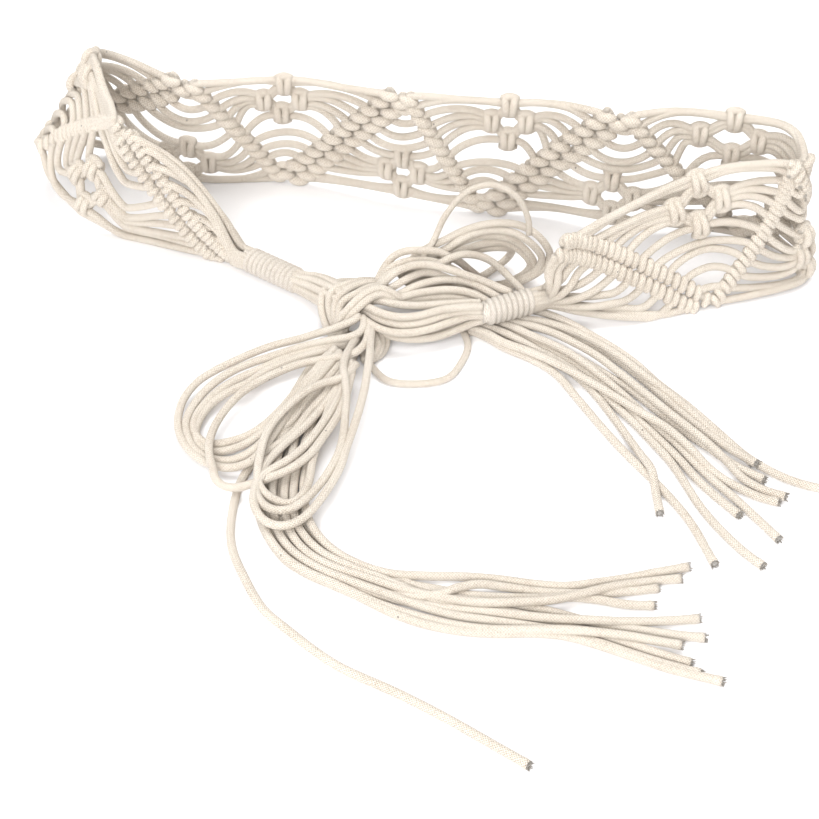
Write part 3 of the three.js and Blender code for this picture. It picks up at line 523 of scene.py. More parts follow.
frontLoops = [
    [(356, 364, 11), (348, 373, 11.5), (339.8, 378.5, 12), (322, 383.5, 12.5), (306.3, 391, 13),
     (290.4, 403.7, 13), (276, 419.6, 12.5), (265.3, 437, 12), (259.5, 456.3, 11), (257.5, 472, 10),
     (259, 483.4, 9), (265.3, 493.5, 8), (276, 500.5, 7.5), (287, 503.5, 7.5), (298, 498, 7.5),
     (307.9, 482, 7.5), (313, 459.5, 7.5), (318, 440, 8), (325, 420, 8.5), (333, 400, 9), (341, 380, 9)],
    [(356, 338, 9), (350.5, 347, 10.5), (345.5, 357, 12), (344, 368, 12.5), (346, 381, 12.5), (347, 396, 12),
     (345.4, 414.8, 11.5), (343, 435.6, 11), (338.2, 453, 10), (328.6, 470.7, 9.5), (315.9, 488.2, 9),
     (303, 501, 9), (290.4, 508.5, 9), (277.6, 509.7, 9), (266.4, 505.7, 8.5), (258.8, 497, 8.5),
     (257, 486.5, 9), (262.5, 477.5, 9.3), (272, 470, 9.6), (285.6, 461.5, 10), (303, 447.2, 10),
     (315.9, 431.3, 10.5), (327, 415.3, 10.5), (338.2, 396, 10), (346, 378, 10), (352, 362, 10)],
    [(372, 322, 9), (370.8, 332, 11), (369.6, 342, 12), (368.8, 353.8, 12.5), (367, 370, 12.5),
     (364.5, 389.3, 12), (359, 411.6, 11.5), (352.6, 430.8, 11), (346.2, 448.3, 10), (339.8, 468, 9.5),
     (328.6, 488.2, 9), (315.9, 505.7, 8.5), (303, 518, 8.5), (288.8, 524.5, 8.5), (276, 524.9, 8.5),
     (264.8, 520.5, 8.5), (256.9, 512.5, 8.8), (253, 502, 9), (254, 489, 9), (259.5, 475, 8.5),
     (269.6, 459.5, 8), (285.6, 443.5, 8), (306.3, 426, 8.5), (322, 408.5, 8.5), (333.4, 392.5, 9),
     (345, 372, 9)],
]

rightLoops = [
    [(399, 276, 12), (408, 263, 16), (424, 250, 21), (444, 240.7, 25), (460, 232.6, 27), (477.6, 226.3, 29),
     (494.8, 223.4, 30), (512, 223.6, 29), (526, 227.3, 27), (538, 235, 24), (546.5, 245.3, 19),
     (549.5, 254.4, 14), (546, 264, 10), (537, 272.5, 7), (524, 280, 5), (508, 287, 4), (488, 292, 4),
     (460, 295, 4), (430, 296, 4), (405, 300, 4)],
    [(401, 279, 10), (412, 266, 14), (430, 256, 19), (447.7, 247.6, 22), (460.4, 239.7, 25),
     (477.6, 232.8, 26.5), (494.8, 230.3, 27), (512, 232.4, 26), (526.5, 240.2, 23), (537.5, 250.5, 18),
     (541.5, 259, 13), (538, 268, 9), (528, 275, 6), (513, 282, 4), (494, 287, 4), (465, 290, 4),
     (435, 290, 4), (408, 294, 4)],
    [(404, 281, 9), (418, 268, 12), (433, 257, 16), (446, 249.5, 19), (462.7, 241.5, 22), (483.3, 236, 23),
     (504, 237.8, 22), (517.8, 243.5, 19), (529, 253.3, 15), (534.3, 262.5, 10), (532, 270.5, 6),
     (525.5, 277.4, 4.5), (516, 283, 4), (500, 289, 4), (480, 293, 4), (440, 293, 4), (412, 296, 4)],
    [(406, 284, 8), (424, 270, 11), (438, 260, 13), (449, 254, 15), (466, 248.7, 17), (488, 242.5, 19),
     (505, 242.3, 18), (517, 248, 16), (527.5, 257.9, 12), (530.5, 265.5, 8), (526, 272.5, 5),
     (515, 279.5, 4), (500, 285, 4), (470, 286, 4), (440, 286, 4), (415, 290, 4)],
    [(410, 288, 8), (430, 275, 9), (444, 264, 11), (456, 256, 13), (472, 251.3, 14.5), (488, 247.6, 15.5),
     (501, 247, 15), (512, 249.5, 10), (510, 255, 6), (504.5, 261, 4), (496, 267.5, 3), (483.3, 276, 2),
     (470, 283, 2), (450, 288, 2)],
]
rightCrossings = [
    [(376, 289, 14), (386, 276, 17), (404, 268, 19), (422, 266.5, 20), (438.6, 264.5, 21), (448.9, 259, 22),
     (462.7, 254.8, 21.5), (477.6, 255.8, 19), (489.5, 260.4, 16), (500.6, 268.4, 12), (511.5, 279.2, 9),
     (521, 289, 7.5), (530, 300, 6)],
    [(372, 295, 16), (381, 286, 17), (391.5, 275.5, 20), (403, 268.6, 22), (416.7, 264.6, 23.4),
     (431.7, 265.2, 23), (448.9, 269.6, 21), (466, 275, 18.5), (483.3, 280.8, 15.5), (496, 286, 13.5),
     (511, 292.5, 12)],
    [(377, 282, 13), (382, 272, 15), (387.5, 263.3, 18), (395.5, 255.3, 21), (407, 251, 23),
     (423.6, 250.4, 23.5), (438.5, 251.6, 22.5), (448.9, 256.3, 20), (460.4, 262.3, 15), (468.4, 268.8, 10),
     (476, 275, 6), (486, 282, 4)],
    [(377, 286, 12), (381.5, 277.4, 14), (388, 270, 17), (397.8, 264, 19), (411, 260.4, 20), (424, 259.8, 20),
     (437.4, 262.7, 19), (450, 268, 16), (462, 274, 12), (475, 281, 8)],
    [(380, 292, 13), (391.5, 287.5, 16), (403, 281, 18), (414.4, 275.3, 19), (426, 272.3, 19),
     (438, 274.5, 18), (451.2, 279.7, 15), (464, 286, 12)],
    [(388, 299, 12), (399.5, 294.2, 14), (412, 287.7, 16.5), (426, 282.8, 17.5), (444.3, 279.6, 17.5),
     (460.4, 280.4, 16.5), (475.3, 285, 14.5), (492.5, 294, 12), (502, 300, 10)],
    [(388, 302, 12), (399, 298.2, 14), (414.4, 293.8, 16), (431.7, 291, 16.5), (448.9, 290, 16.5),
     (466, 292, 15.5), (480, 297, 13.5), (492, 304, 11)],
    [(392, 304, 11), (404, 301, 12.5), (426, 298, 13.5), (448.9, 297, 13.5), (466, 300, 12.5),
     (478, 304, 11)],
]

archRoute = [(5, 66, 21), (9, 69, 26), (14, 73.5, 35), (22.5, 77, 43.5), (32, 78.5, 45.5), (41, 77, 41),
             (45.5, 76, 31), (46, 75, 25)]
smallLoopRoute = [(-20, 37, 1.5), (-15, 25, 1.5), (-8, 15, 1.5), (3, 13, 1.5), (14, 16, 1.5), (20, 27, 1.5),
                  (22, 36, 1.5), (20, 45, 2.5)]


def fromPixels(points):
    return [tuple(atPixel(*point)) for point in points]


for number, points in enumerate(leftLoops, 1):
    freeCord(f"left_loop_cord_{number}", fromPixels(points), ["bow_left_loop"], "object")
for number, points in enumerate(frontLoops, 1):
    freeCord(f"front_loop_cord_{number}", fromPixels(points), ["bow_front_loop"], "object")
for number, points in enumerate(rightLoops, 1):
    freeCord(f"right_loop_cord_{number}", fromPixels(points), ["bow_right_loop"], "object")
freeCord("arch_cord", archRoute, ["bow_arch"], "object", radius=1.2)
freeCord("small_loop_cord", smallLoopRoute, ["bow_small_loop"], "object", radius=1.35)
print("bow loops laid")


def heldCords(name, routes, nodes, radius=cordSizes["radius"], wander=cordSizes["heldWander"]):
    mesh = bmesh.new()
    for route in routes:
        line = wandering(smoothLine(route, cordSizes["step"]), wander)
        line[:, 2] = np.maximum(line[:, 2], radius)
        sweep(mesh, line, radius, cordSizes["sides"])
    finishPiece(name, mesh, nodes)


heldCords("right_crossing_cords", [fromPixels(route) for route in rightCrossings], ["bow_right_loop"])

# Cords held in the knot, by pixel and height
knotTurns = [
    [(358, 282, 6), (349, 281.6, 9), (338, 282.6, 11), (329, 286.2, 12), (323.2, 293, 11.5),
     (321.2, 302.9, 10), (322.5, 313.6, 7), (326.5, 326, 4), (333, 336, 3)],
    [(374, 281, 10), (362.5, 280.8, 13), (348.2, 283.9, 14.5), (338.4, 287.2, 14.5), (330.9, 293.3, 13.5),
     (328.8, 302, 11), (330.2, 313.6, 8), (334.5, 325, 5), (342, 334, 3)],
    [(381, 284, 12), (371.4, 282.6, 15), (360, 284, 16), (349, 288.5, 16), (339.2, 296, 15),
     (335.4, 303.4, 13), (334.8, 313.6, 10), (336.5, 323.5, 7), (344, 333, 5)],
    [(388, 288, 13), (376.8, 286.4, 16), (366, 288.8, 17.3), (356, 293.8, 17.3), (345, 299.8, 16),
     (339.9, 307, 13.5), (338.6, 315.8, 11), (338, 325, 8), (346, 333, 6)],
    [(403, 301.5, 12), (399.1, 298, 15), (389.3, 291.1, 18), (378.6, 288, 19.5), (367.9, 291.5, 19.5),
     (355.4, 301.2, 17.5), (345, 312.7, 14), (338.5, 322, 10.5), (338, 330, 7)],
    [(398, 303.5, 12), (394.6, 300.6, 14.5), (385.7, 295.4, 17), (376.8, 295.2, 18), (366, 301, 17.5),
     (355.9, 309.7, 15), (347, 318, 12), (342, 326, 9)],
    [(390, 292, 12), (378, 291, 14), (366, 295, 15), (354, 303, 14), (346, 311, 12), (342, 321, 9)],
    [(366, 286, 12), (352, 290, 13), (343, 297, 12), (338, 306, 10), (337, 318, 7)],
]
knotCurls = [
    [(368, 322, 8), (372.5, 331, 8), (377, 341, 6.5), (377, 350, 4.5), (371, 357, 3), (362, 360, 2)],
    [(374, 324, 7), (380, 333, 7), (382, 343, 5), (379.5, 352, 3.5), (373, 359, 2), (364, 362, 1.6)],
    [(382, 327, 6), (386, 336, 5), (386, 345, 3.5), (381, 354, 2), (372, 360, 1.5)],
]
bundleCords = [
    [(364, 303, 13), (377, 300.5, 15), (389, 302.6, 15.5), (403, 304.8, 15.2), (420, 305.6, 15),
     (440, 304.6, 15), (460, 303.2, 15), (480, 302.5, 14.5)],
    [(360, 306, 13), (368, 307, 15), (377, 311, 15.8), (389, 315, 15.8), (403, 317, 15.5), (420, 315.6, 15.2),
     (440, 310.3, 15.5), (460, 307.3, 16), (482, 306.5, 15)],
    [(360, 309, 11), (368, 312.5, 12), (378, 318.5, 12.8), (390, 322.5, 12.8), (404, 324.5, 12.5),
     (422, 322.3, 12.5), (446, 315, 13), (464, 311.5, 13.5), (482, 311, 13)],
    [(352, 310, 10), (358, 315, 11), (367, 321.5, 11.5), (378, 328, 11.3), (392, 332.3, 10.8),
     (410, 332.6, 10.5), (430, 328.8, 10.5), (452, 321, 11), (468, 316.5, 11.2), (484, 315.5, 11)],
    [(374, 326, 7), (385, 333.5, 7), (397, 337.6, 6.6), (415, 339, 6.3), (436, 336.6, 6.3), (456, 330, 7),
     (470, 324, 8), (484, 320, 8.5)],
    [(360, 312, 9), (376, 317, 9.5), (396, 321, 9.6), (420, 320, 9.6), (445, 314, 10), (482, 309, 10.5)],
    [(362, 318, 6.5), (382, 325, 6.5), (404, 330, 6.5), (428, 327, 6.5), (452, 322, 7), (482, 315, 8)],
    [(366, 300, 11), (386, 300, 12), (410, 303, 12), (440, 303, 12), (482, 300, 12)],
    [(366, 308, 7), (386, 314, 7), (410, 318, 7.2), (440, 314, 7.4), (482, 306, 8)],
]
heldCords("knot_turn_cords", [fromPixels(route) for route in knotTurns], ["bow_knot"], wander=0.06)
heldCords("knot_curl_cords", [fromPixels(route) for route in knotCurls], ["bow_knot"], radius=1.4)
heldCords("front_bundle_cords", [fromPixels(route) for route in bundleCords], ["front_bundle"])

loopFillers = [
    [(262, 455, 5.5), (293.5, 432.5, 6.5), (309.5, 411.8, 7), (325.4, 394, 8), (342, 372, 8)],
    [(264, 441, 5.5), (290.4, 421.4, 6.5), (303, 405.5, 7), (322, 385, 7.5), (340, 364, 8)],
    [(270, 446, 4.5), (296, 420, 5), (314, 398, 6), (336, 370, 7)],
]
heldCords("loop_inner_cords", [fromPixels(route) for route in loopFillers], ["bow_left_loop"])
print("knot and bundle tied")


# Places round the mouth of a wrap
def mouthFrame(name, atEnd):
    start, end = Vector(wraps[name]["start"]), Vector(wraps[name]["end"])
    axis = (end - start).normalized()
    spot = end if atEnd else start
    flatSide = axis.cross(Vector((0, 0, 1))).normalized()
    return spot, axis, flatSide, flatSide.cross(axis).normalized()


def mouthPlace(name, level, isFront, reach):
    # A place in the mouth at the net. level runs from -1 at the bottom to 1 at the top
    spot, axis, flatSide, up = mouthFrame(name, False)
    sideways = math.sqrt(max(0.0, 1 - level * level)) * (1 if isFront else -1)
    return spot + up * (reach * level) + flatSide * (reach * sideways)


leadSizes = {
    "cords": 10, "reach": 3.3, "into": 3.0, "past": 7, "pastSpread": 1.35, "rise": 1, "goal": (-27, 55, 9.5),
    "goalSpread": 1.4, "end": 6, "endSpread": 1.1,
}


def leadCords():
    routes = []
    goal = Vector(leadSizes["goal"])
    spot, axis, flatSide, up = mouthFrame("left_wrap", True)
    for i in range(leadSizes["cords"]):
        angle = 2 * math.pi * i / leadSizes["cords"]
        offset = flatSide * math.cos(angle) + up * math.sin(angle)
        spread = offset * leadSizes["reach"]
        start = spot - axis * leadSizes["into"] + spread
        past = spot + axis * leadSizes["past"] + spread * leadSizes["pastSpread"]
        past.z += leadSizes["rise"]
        last = goal + axis * leadSizes["end"] + spread * leadSizes["endSpread"]
        routes.append([start, spot + spread, past, goal + spread * leadSizes["goalSpread"], last])
    return routes


heldCords("left_lead_cords", leadCords(), ["left_lead"])

# Wraps of the two gathers
wrapSizes = {
    "outer": 5.25, "cord": 1.24, "perTurn": 26, "sides": 10, "tuck": 2.0, "firstTurn": 2.2, "easeTurns": 0.35,
    "core": 3.85, "coreSides": 20, "coreShares": (-0.02, 0.35, 0.65, 1.02),
}


def makeWrapCoil(name):
    start, axis, flatSide, up = mouthFrame(name, False)
    length = (Vector(wraps[name]["end"]) - start).length
    turns = wraps[name]["turns"]
    reach = wrapSizes["outer"] - wrapSizes["cord"]
    line = []
    total = turns * wrapSizes["perTurn"]
    inset = wrapSizes["cord"]
    for i in range(total + 1):
        angle = 2 * math.pi * i / wrapSizes["perTurn"] + wrapSizes["firstTurn"]
        ease = min(1.0, min(i, total - i) / (wrapSizes["perTurn"] * wrapSizes["easeTurns"]))
        along = inset + (length - 2 * inset) * i / total
        spread = reach - wrapSizes["tuck"] * (1 - ease)
        line.append(start + axis * along + (flatSide * math.cos(angle) + up * math.sin(angle)) * spread)
    mesh = bmesh.new()
    sweep(mesh, line, wrapSizes["cord"], wrapSizes["sides"])
    core = [start + axis * (length * s) for s in wrapSizes["coreShares"]]
    sweep(mesh, core, wrapSizes["core"], wrapSizes["coreSides"])
    finishPiece(name + "_coil", mesh, [name], "cottonWrap")


for wrapName in wraps:
    makeWrapCoil(wrapName)
print("wraps wound")

# The net before it is bent round
net = {
    "band": 60.0, "repeat": 93.0, "rising": 0.6, "repeats": 5, "cords": 12,
    "loopWidth": 316.0, "loopDepth": 110.0, "loopFront": 50.0, "alongStep": 0.02,
}
# Each station: repeats along, foot x, foot y, lift, width, lean x, lean y, as shares of the loop and the band
stations = [
    (-0.17, -0.207, 0.325, 0.03, 0.13, 0.01, -0.01), (0.0, -0.224, 0.368, 0.0, 0.27, 0.06, -0.08),
    (0.2, -0.266, 0.42, 0.0, 0.58, 0.05, -0.16), (0.4, -0.32, 0.49, 0.0, 0.89, 0.07, -0.21),
    (0.6, -0.38, 0.545, 0.0, 1.0, 0.135, -0.125), (0.72, -0.426, 0.59, 0.065, 1.0, 0.31, -0.02),
    (0.84, -0.464, 0.69, 0.18, 1.0, 0.46, -0.07), (0.94, -0.479, 0.76, 0.29, 1.0, 0.51, -0.12),
    (1.03, -0.488, 0.835, 0.32, 1.0, 0.52, -0.13), (1.14, -0.474, 0.97, 0.23, 1.0, 0.44, -0.19),
    (1.32, -0.4, 1.07, 0.05, 1.0, 0.22, -0.27), (1.6, -0.292, 0.91, 0.0, 1.0, 0.067, -0.25),
    (2.0, -0.168, 0.9, 0.0, 1.0, 0.1, -0.22), (2.3, -0.09, 0.84, 0.0, 1.0, 0.06, -0.2),
    (2.6, -0.012, 0.75, 0.0, 1.0, 0.03, -0.15), (3.0, 0.094, 0.69, 0.0, 1.0, 0.02, -0.13),
    (3.3, 0.18, 0.66, 0.0, 1.0, -0.02, -0.12), (3.6, 0.27, 0.55, 0.0, 1.0, -0.04, -0.05),
    (3.8, 0.34, 0.55, 0.0, 1.0, -0.03, -0.02), (4.0, 0.43, 0.52, 0.0, 1.0, -0.02, -0.05),
    (4.25, 0.475, 0.42, 0.0, 1.0, -0.05, -0.02), (4.45, 0.495, 0.33, 0.0, 1.0, -0.13, -0.1),
    (4.6, 0.493, 0.26, 0.0, 1.0, -0.17, -0.05), (4.75, 0.472, 0.2, 0.0, 1.0, -0.22, 0.15),
    (5.0, 0.367, 0.096, 0.0, 0.98, -0.07, 0.35), (5.3, 0.26, 0.01, 0.0, 0.8, -0.05, 0.28),
    (5.6, 0.168, 0.0, 0.06, 0.51, 0.04, 0.03), (5.77, 0.155, 0.01, 0.13, 0.14, 0.01, 0.01),
]


def stationEdges():
    places, feet, heads = [], [], []
    for at, x, y, lift, width, leanX, leanY in stations:
        foot = np.array([x * net["loopWidth"], net["loopFront"] + y * net["loopDepth"], lift * net["band"]])
        rise = math.sqrt(max(0.0, width * width - leanX * leanX - leanY * leanY))
        places.append(at)
        feet.append(foot)
        heads.append(foot + np.array([leanX, leanY, rise]) * net["band"])
    return np.array(places), np.array(feet), np.array(heads)


places, feet, heads = stationEdges()


def throughStations(at, edge):
    last = len(places) - 1
    i = int(np.clip(np.searchsorted(places, at, side="right") - 1, 0, last - 1))

    def slopeAt(k):
        a, b = max(0, k - 1), min(last, k + 1)
        return (edge[b] - edge[a]) / (places[b] - places[a])

    span = places[i + 1] - places[i]
    s = (at - places[i]) / span
    s2, s3 = s * s, s * s * s
    return (edge[i] * (2 * s3 - 3 * s2 + 1) + slopeAt(i) * (s3 - 2 * s2 + s) * span
            + edge[i + 1] * (3 * s2 - 2 * s3) + slopeAt(i + 1) * (s3 - s2) * span)


# At the left fold the knots stand high on the band, and the strands under them hang long
raised = {"from": 0.55, "fullFrom": 0.66, "fullTo": 0.97, "to": 1.12, "most": 0.21, "skew": 0.7}


def raisedShare(at, share):
    fadeIn = (at - raised["from"]) / (raised["fullFrom"] - raised["from"])
    fadeOut = (raised["to"] - at) / (raised["to"] - raised["fullTo"])
    strength = min(1.0, max(0.0, min(fadeIn, fadeOut)))
    inside = min(1.0, max(0.0, share))
    return share + raised["most"] * strength * math.sin(math.pi * inside ** raised["skew"])


def bend(u, v, out):
    # A point of the flat net carried round the loop. out is towards the waist
    at = u / net["repeat"]
    share = raisedShare(at, v / net["band"])

    def surface(a):
        foot = throughStations(a, feet)
        return foot + (throughStations(a, heads) - foot) * share

    along = surface(at + net["alongStep"]) - surface(at - net["alongStep"])
    up = throughStations(at, heads) - throughStations(at, feet)
    outward = np.cross(along, up)
    outward /= np.linalg.norm(outward)
    return surface(at) + outward * out


def bendLine(line, radius):
    points = np.array([bend(*point[:3]) for point in line])
    points[:, 2] = np.maximum(points[:, 2], radius)
    return points


def risingX(k, v):
    return net["repeat"] * (k + net["rising"] * v / net["band"])


def fallingX(k, v):
    return net["repeat"] * (k + net["rising"] + (1 - net["rising"]) * (1 - v / net["band"]))


rows = {
    "knots": 12, "ends": 0.03, "doubleGap": 3.1, "frontGap": 4.3, "leaderRadius": 1.3, "leaderPlaces": 16,
    "bars": 2, "halfWidth": 2.0, "barRadius": 1.5, "barRise": 1.1, "barTurn": 100, "barPlaces": 8,
    "barSides": 8, "leanBar": 0.5, "barShift": 0.06, "barVaries": (0.95, 1.05), "barFloor": 1.4,
    "beadHalf": 4.1, "frontBeadHalf": 2.9, "beadRadius": 2.25, "beadOut": 1.3, "beadBend": 0.9,
    "beadRound": 0.93, "beadPlaces": 9, "beadSides": 10, "beadShift": 0.07, "beadVaries": (0.93, 1.06),
    "beadFloor": 1.9, "tiltRising": -6.0, "tiltFalling": -18.0, "tiltVaries": 7,
}


def spotFrame(u, v):
    # A spot of the net, and the directions along the band, up it and towards the waist
    here = bend(u, v, 0)
    inwards = bend(u, v, 1) - here
    level = bend(u + 1, v, 0) - here
    level -= inwards * np.dot(level, inwards)
    level /= np.linalg.norm(level)
    up = bend(u, min(net["band"], v + 1), 0) - bend(u, max(0.0, v - 1), 0)
    up -= inwards * np.dot(up, inwards) + level * np.dot(up, level)
    return here, level, up / np.linalg.norm(up), inwards


def aboveFloor(line, radius):
    points = np.array(line)
    points[:, 2] = np.maximum(points[:, 2], radius)
    return points


def rowLines():
    # Each row's two end points in the flat net, how far it stands to the side, and its knots' half length
    lines = []
    for k in range(net["repeats"] + 1):
        half = rows["frontBeadHalf"] if k in (0, net["repeats"]) else rows["beadHalf"]
        low, high = np.array([risingX(k, 0), 0.0]), np.array([risingX(k, net["band"]), net["band"]])
        for side in (-1, 1):
            gap = rows["frontGap"] if k == 0 else rows["doubleGap"]
            lines.append((low, high, side * gap, half))
        if k < net["repeats"]:
            half = rows["frontBeadHalf"] if k in (0, net["repeats"] - 1) else rows["beadHalf"]
            high, low = np.array([fallingX(k, net["band"]), net["band"]]), np.array([fallingX(k, 0), 0.0])
            lines.append((high, low, 0.0, half))
    return lines


def makeRows():
    mesh = bmesh.new()
    for start, end, gap, beadHalf in rowLines():
        step = (end - start) / np.linalg.norm(end - start)
        isRising = step[1] > 0

        def rowSpot(share):
            u, v = start + (end - start) * (rows["ends"] + (1 - 2 * rows["ends"]) * share)
            here, level, up, inwards = spotFrame(u, v)
            along = bend(u + step[0], v + step[1], 0) - bend(u - step[0], v - step[1], 0)
            along /= np.linalg.norm(along)
            across = np.cross(inwards, along) * (1 if isRising else -1)
            # Near the band's edges the step aside turns along the band, so that no knot stands past the edge
            fade = 2 * rows["doubleGap"]
            edge = min(1.0, (net["band"] - v) / fade, v / fade)
            sense = 1 if np.dot(across, level) > 0 else -1
            here = here + (across * edge + level * (1 - edge) * sense) * gap
            return here, along, across, level, up, inwards

        leader = [rowSpot(s)[0] for s in np.linspace(0, 1, rows["leaderPlaces"])]
        sweep(mesh, aboveFloor(leader, rows["leaderRadius"]), rows["leaderRadius"], rows["barSides"])
        count = rows["knots"] * rows["bars"]
        for i in range(count):
            shift = random.uniform(-rows["barShift"], rows["barShift"])
            here, along, across, level, up, inwards = rowSpot((i + 0.5 + shift) / count)
            size = random.uniform(*rows["barVaries"])
            line = []
            for turn in np.linspace(-rows["barTurn"], rows["barTurn"], rows["barPlaces"]):
                angle = math.radians(turn)
                line.append(here + across * rows["halfWidth"] * math.sin(angle) * size
                            + along * rows["leanBar"] * math.sin(angle)
                            - inwards * rows["barRise"] * math.cos(angle) * size)
            sweep(mesh, aboveFloor(line, rows["barFloor"]), rows["barRadius"] * size, rows["barSides"])
        for i in range(rows["knots"]):
            shift = random.uniform(-rows["beadShift"], rows["beadShift"])
            here, along, across, level, up, inwards = rowSpot((i + 0.5 + shift) / rows["knots"])
            tilt = rows["tiltRising"] if isRising else rows["tiltFalling"]
            tilt = math.radians(tilt + random.uniform(-rows["tiltVaries"], rows["tiltVaries"]))
            lie = level * math.cos(tilt) + up * math.sin(tilt)
            size = random.uniform(*rows["beadVaries"])
            line, radii = [], []
            for s in np.linspace(-1, 1, rows["beadPlaces"]):
                out = rows["beadOut"] - rows["beadBend"] * s * s
                line.append(here + lie * s * beadHalf * size + inwards * out)
                radii.append(rows["beadRadius"] * size * math.sqrt(1 - (rows["beadRound"] * s) ** 2))
            sweep(mesh, aboveFloor(line, rows["beadFloor"]), radii, rows["beadSides"])
    finishPiece("net_knot_rows", mesh, ["net_band"])


flowers = {
    "centre": 14.5, "sideways": 7.4, "apart": 8.1, "squeeze": 2.0, "cords": 7,
    "hold": 2, "holdIn": 1.5, "holdOut": 2.5, "varies": (0.93, 1.07), "wander": 0.4, "floor": 1.3, "sides": 8,
    "barApart": 1.45, "barReach": 3.6, "barRise": 2.5, "barRadius": 1.62, "barTurn": 95, "barLean": 0.35,
    "barTaper": 0.18, "barPlaces": 9,
    "turnHalf": 3.3, "turnReach": 4.3, "turnBend": 0.9, "turnRadius": 1.7, "turnTaper": 0.4, "turnPlaces": 7,
    "middles": {"edge": 1.5, "inner": 5.5, "side": 3.5}, "steps": {"edge": -1, "inner": 1, "side": 0},
    # For each triangle: the shift along the band, the shift away from the open edge, and the size
    "nudges": ((16, -5, 0.75), (0, 0, 1), (5.5, -2, 1), (-8, -2.5, 1), (6, 3.5, 1), (4, -3, 1), (2, 4, 1),
               (-12, -3, 1), (3, 0, 1), (-3, 2, 1)),
}
# The knots that each of the cords passes: at the two sides, and in the middle
flowerWays = [
    (None, "edge"), (None, "edge"), ("side", "edge"), ("side", "edge"),
    ("side", "inner"), ("side", "inner"), (None, "inner"),
]
slack = {
    "bows": (0.6, 2.2, 2.6, 2.0, 1.2, 0.8, 0.6, 6.2, 6.4, 5.6, 4.4, 3.0), "wide": 18.0, "narrowest": 2,
    "sway": 0.25, "depth": 0.9, "varies": (0.75, 1.2), "otherVaries": (0.7, 1.3),
    "steps": (0.12, 0.3, 0.55, 0.8), "steep": 2.3, "round": 0.8,
    "archSteps": (0.12, 0.3, 0.5, 0.7, 0.88), "archRound": 0.65,
}
strandSizes = {"radius": 1.52, "sides": 10, "step": 1.9, "floor": 1.5}


def flowerSpot(kind, cord, centre, size):
    # Distance from the open edge of a cord as it passes a knot
    step = flowers["steps"][kind] * flowers["apart"]
    return centre + size * (step + (cord - flowers["middles"][kind]) * flowers["squeeze"])


def triangles():
    # Left and right border, the way from the open edge to the far corner, the doubled rows' reach, and the
    # flower's row of nudges
    found = []
    reach = 2 * rows["doubleGap"]
    for k in range(net["repeats"]):
        found.append((lambda v, k=k: risingX(k, v), lambda v, k=k: fallingX(k, v), lambda p: p, (reach, 0),
                      flowers["nudges"][2 * k]))
        found.append((lambda v, k=k: fallingX(k, v), lambda v, k=k: risingX(k + 1, v),
                      lambda p: net["band"] - p, (0, reach), flowers["nudges"][2 * k + 1]))
    return found


def flowerMiddle(leftX, rightX, toV, reach, nudge):
    level = toV(flowers["centre"])
    middle = (leftX(level) + rightX(level)) / 2 + (reach[0] - reach[1]) / 4
    return middle + nudge[0], flowers["centre"] + nudge[1], nudge[2]


def slackWay(row, knot, bow, depth):
    # From a row to a knot: off the row steeply, then level, with the slack towards the open edge
    points = [(row[0], row[1], 0)]
    for s in slack["steps"]:
        level = row[1] + (knot[1] - row[1]) * (1 - (1 - s) ** slack["steep"])
        points.append((row[0] + (knot[0] - row[0]) * s, level - bow * math.sin(math.pi * s) ** slack["round"],
                       depth * math.sin(math.pi * s)))
    return points


def makeStrands():
    mesh = bmesh.new()
    for leftX, rightX, toV, reach, nudge in triangles():
        centreU, middleP, size = flowerMiddle(leftX, rightX, toV, reach, nudge)
        for cord in range(net["cords"]):
            p = net["band"] / net["cords"] * (cord + 0.5)
            u0, u1 = leftX(toV(p)) + reach[0] / 2, rightX(toV(p)) - reach[1] / 2
            depths = [random.uniform(-slack["depth"], slack["depth"]) for _ in range(2)]
            bow = slack["bows"][cord] * random.uniform(*slack["varies"])
            if cord < flowers["cords"]:
                side, middle = flowerWays[cord]
                centre = flowerSpot(middle, cord, middleP, size)
                knots = [(centreU - flowers["hold"], centre, 0), (centreU + flowers["hold"], centre, 0)]
                if side:
                    level = flowerSpot(side, cord, middleP, size)
                    far = flowers["sideways"] * size + flowers["holdOut"]
                    near = flowers["sideways"] * size - flowers["holdIn"]
                    knots = [(centreU - far, level, 0), (centreU - near, level, 0)] + knots
                    knots += [(centreU + near, level, 0), (centreU + far, level, 0)]
                line = slackWay((u0, p), knots[0], bow, depths[0]) + knots
                otherBow = bow * random.uniform(*slack["otherVaries"])
                line += slackWay((u1, p), knots[-1], otherBow, depths[1])[::-1]
            else:
                if u1 - u0 < slack["narrowest"]:
                    continue
                bow *= min(1.0, (u1 - u0) / slack["wide"])
                line = [(u0, p, 0)]
                for s in slack["archSteps"]:
                    arch = math.sin(math.pi * s) ** slack["archRound"]
                    line.append((u0 + (u1 - u0) * s, p - bow * arch, depths[0] * arch))
                line.append((u1, p, 0))
            line = [(u, toV(max(strandSizes["floor"], q)), out) for u, q, out in line]
            line = wandering(smoothLine(line, strandSizes["step"]), slack["sway"])
            sweep(mesh, bendLine(line, strandSizes["floor"]), strandSizes["radius"], strandSizes["sides"])
    finishPiece("net_cords", mesh, ["net_band"])


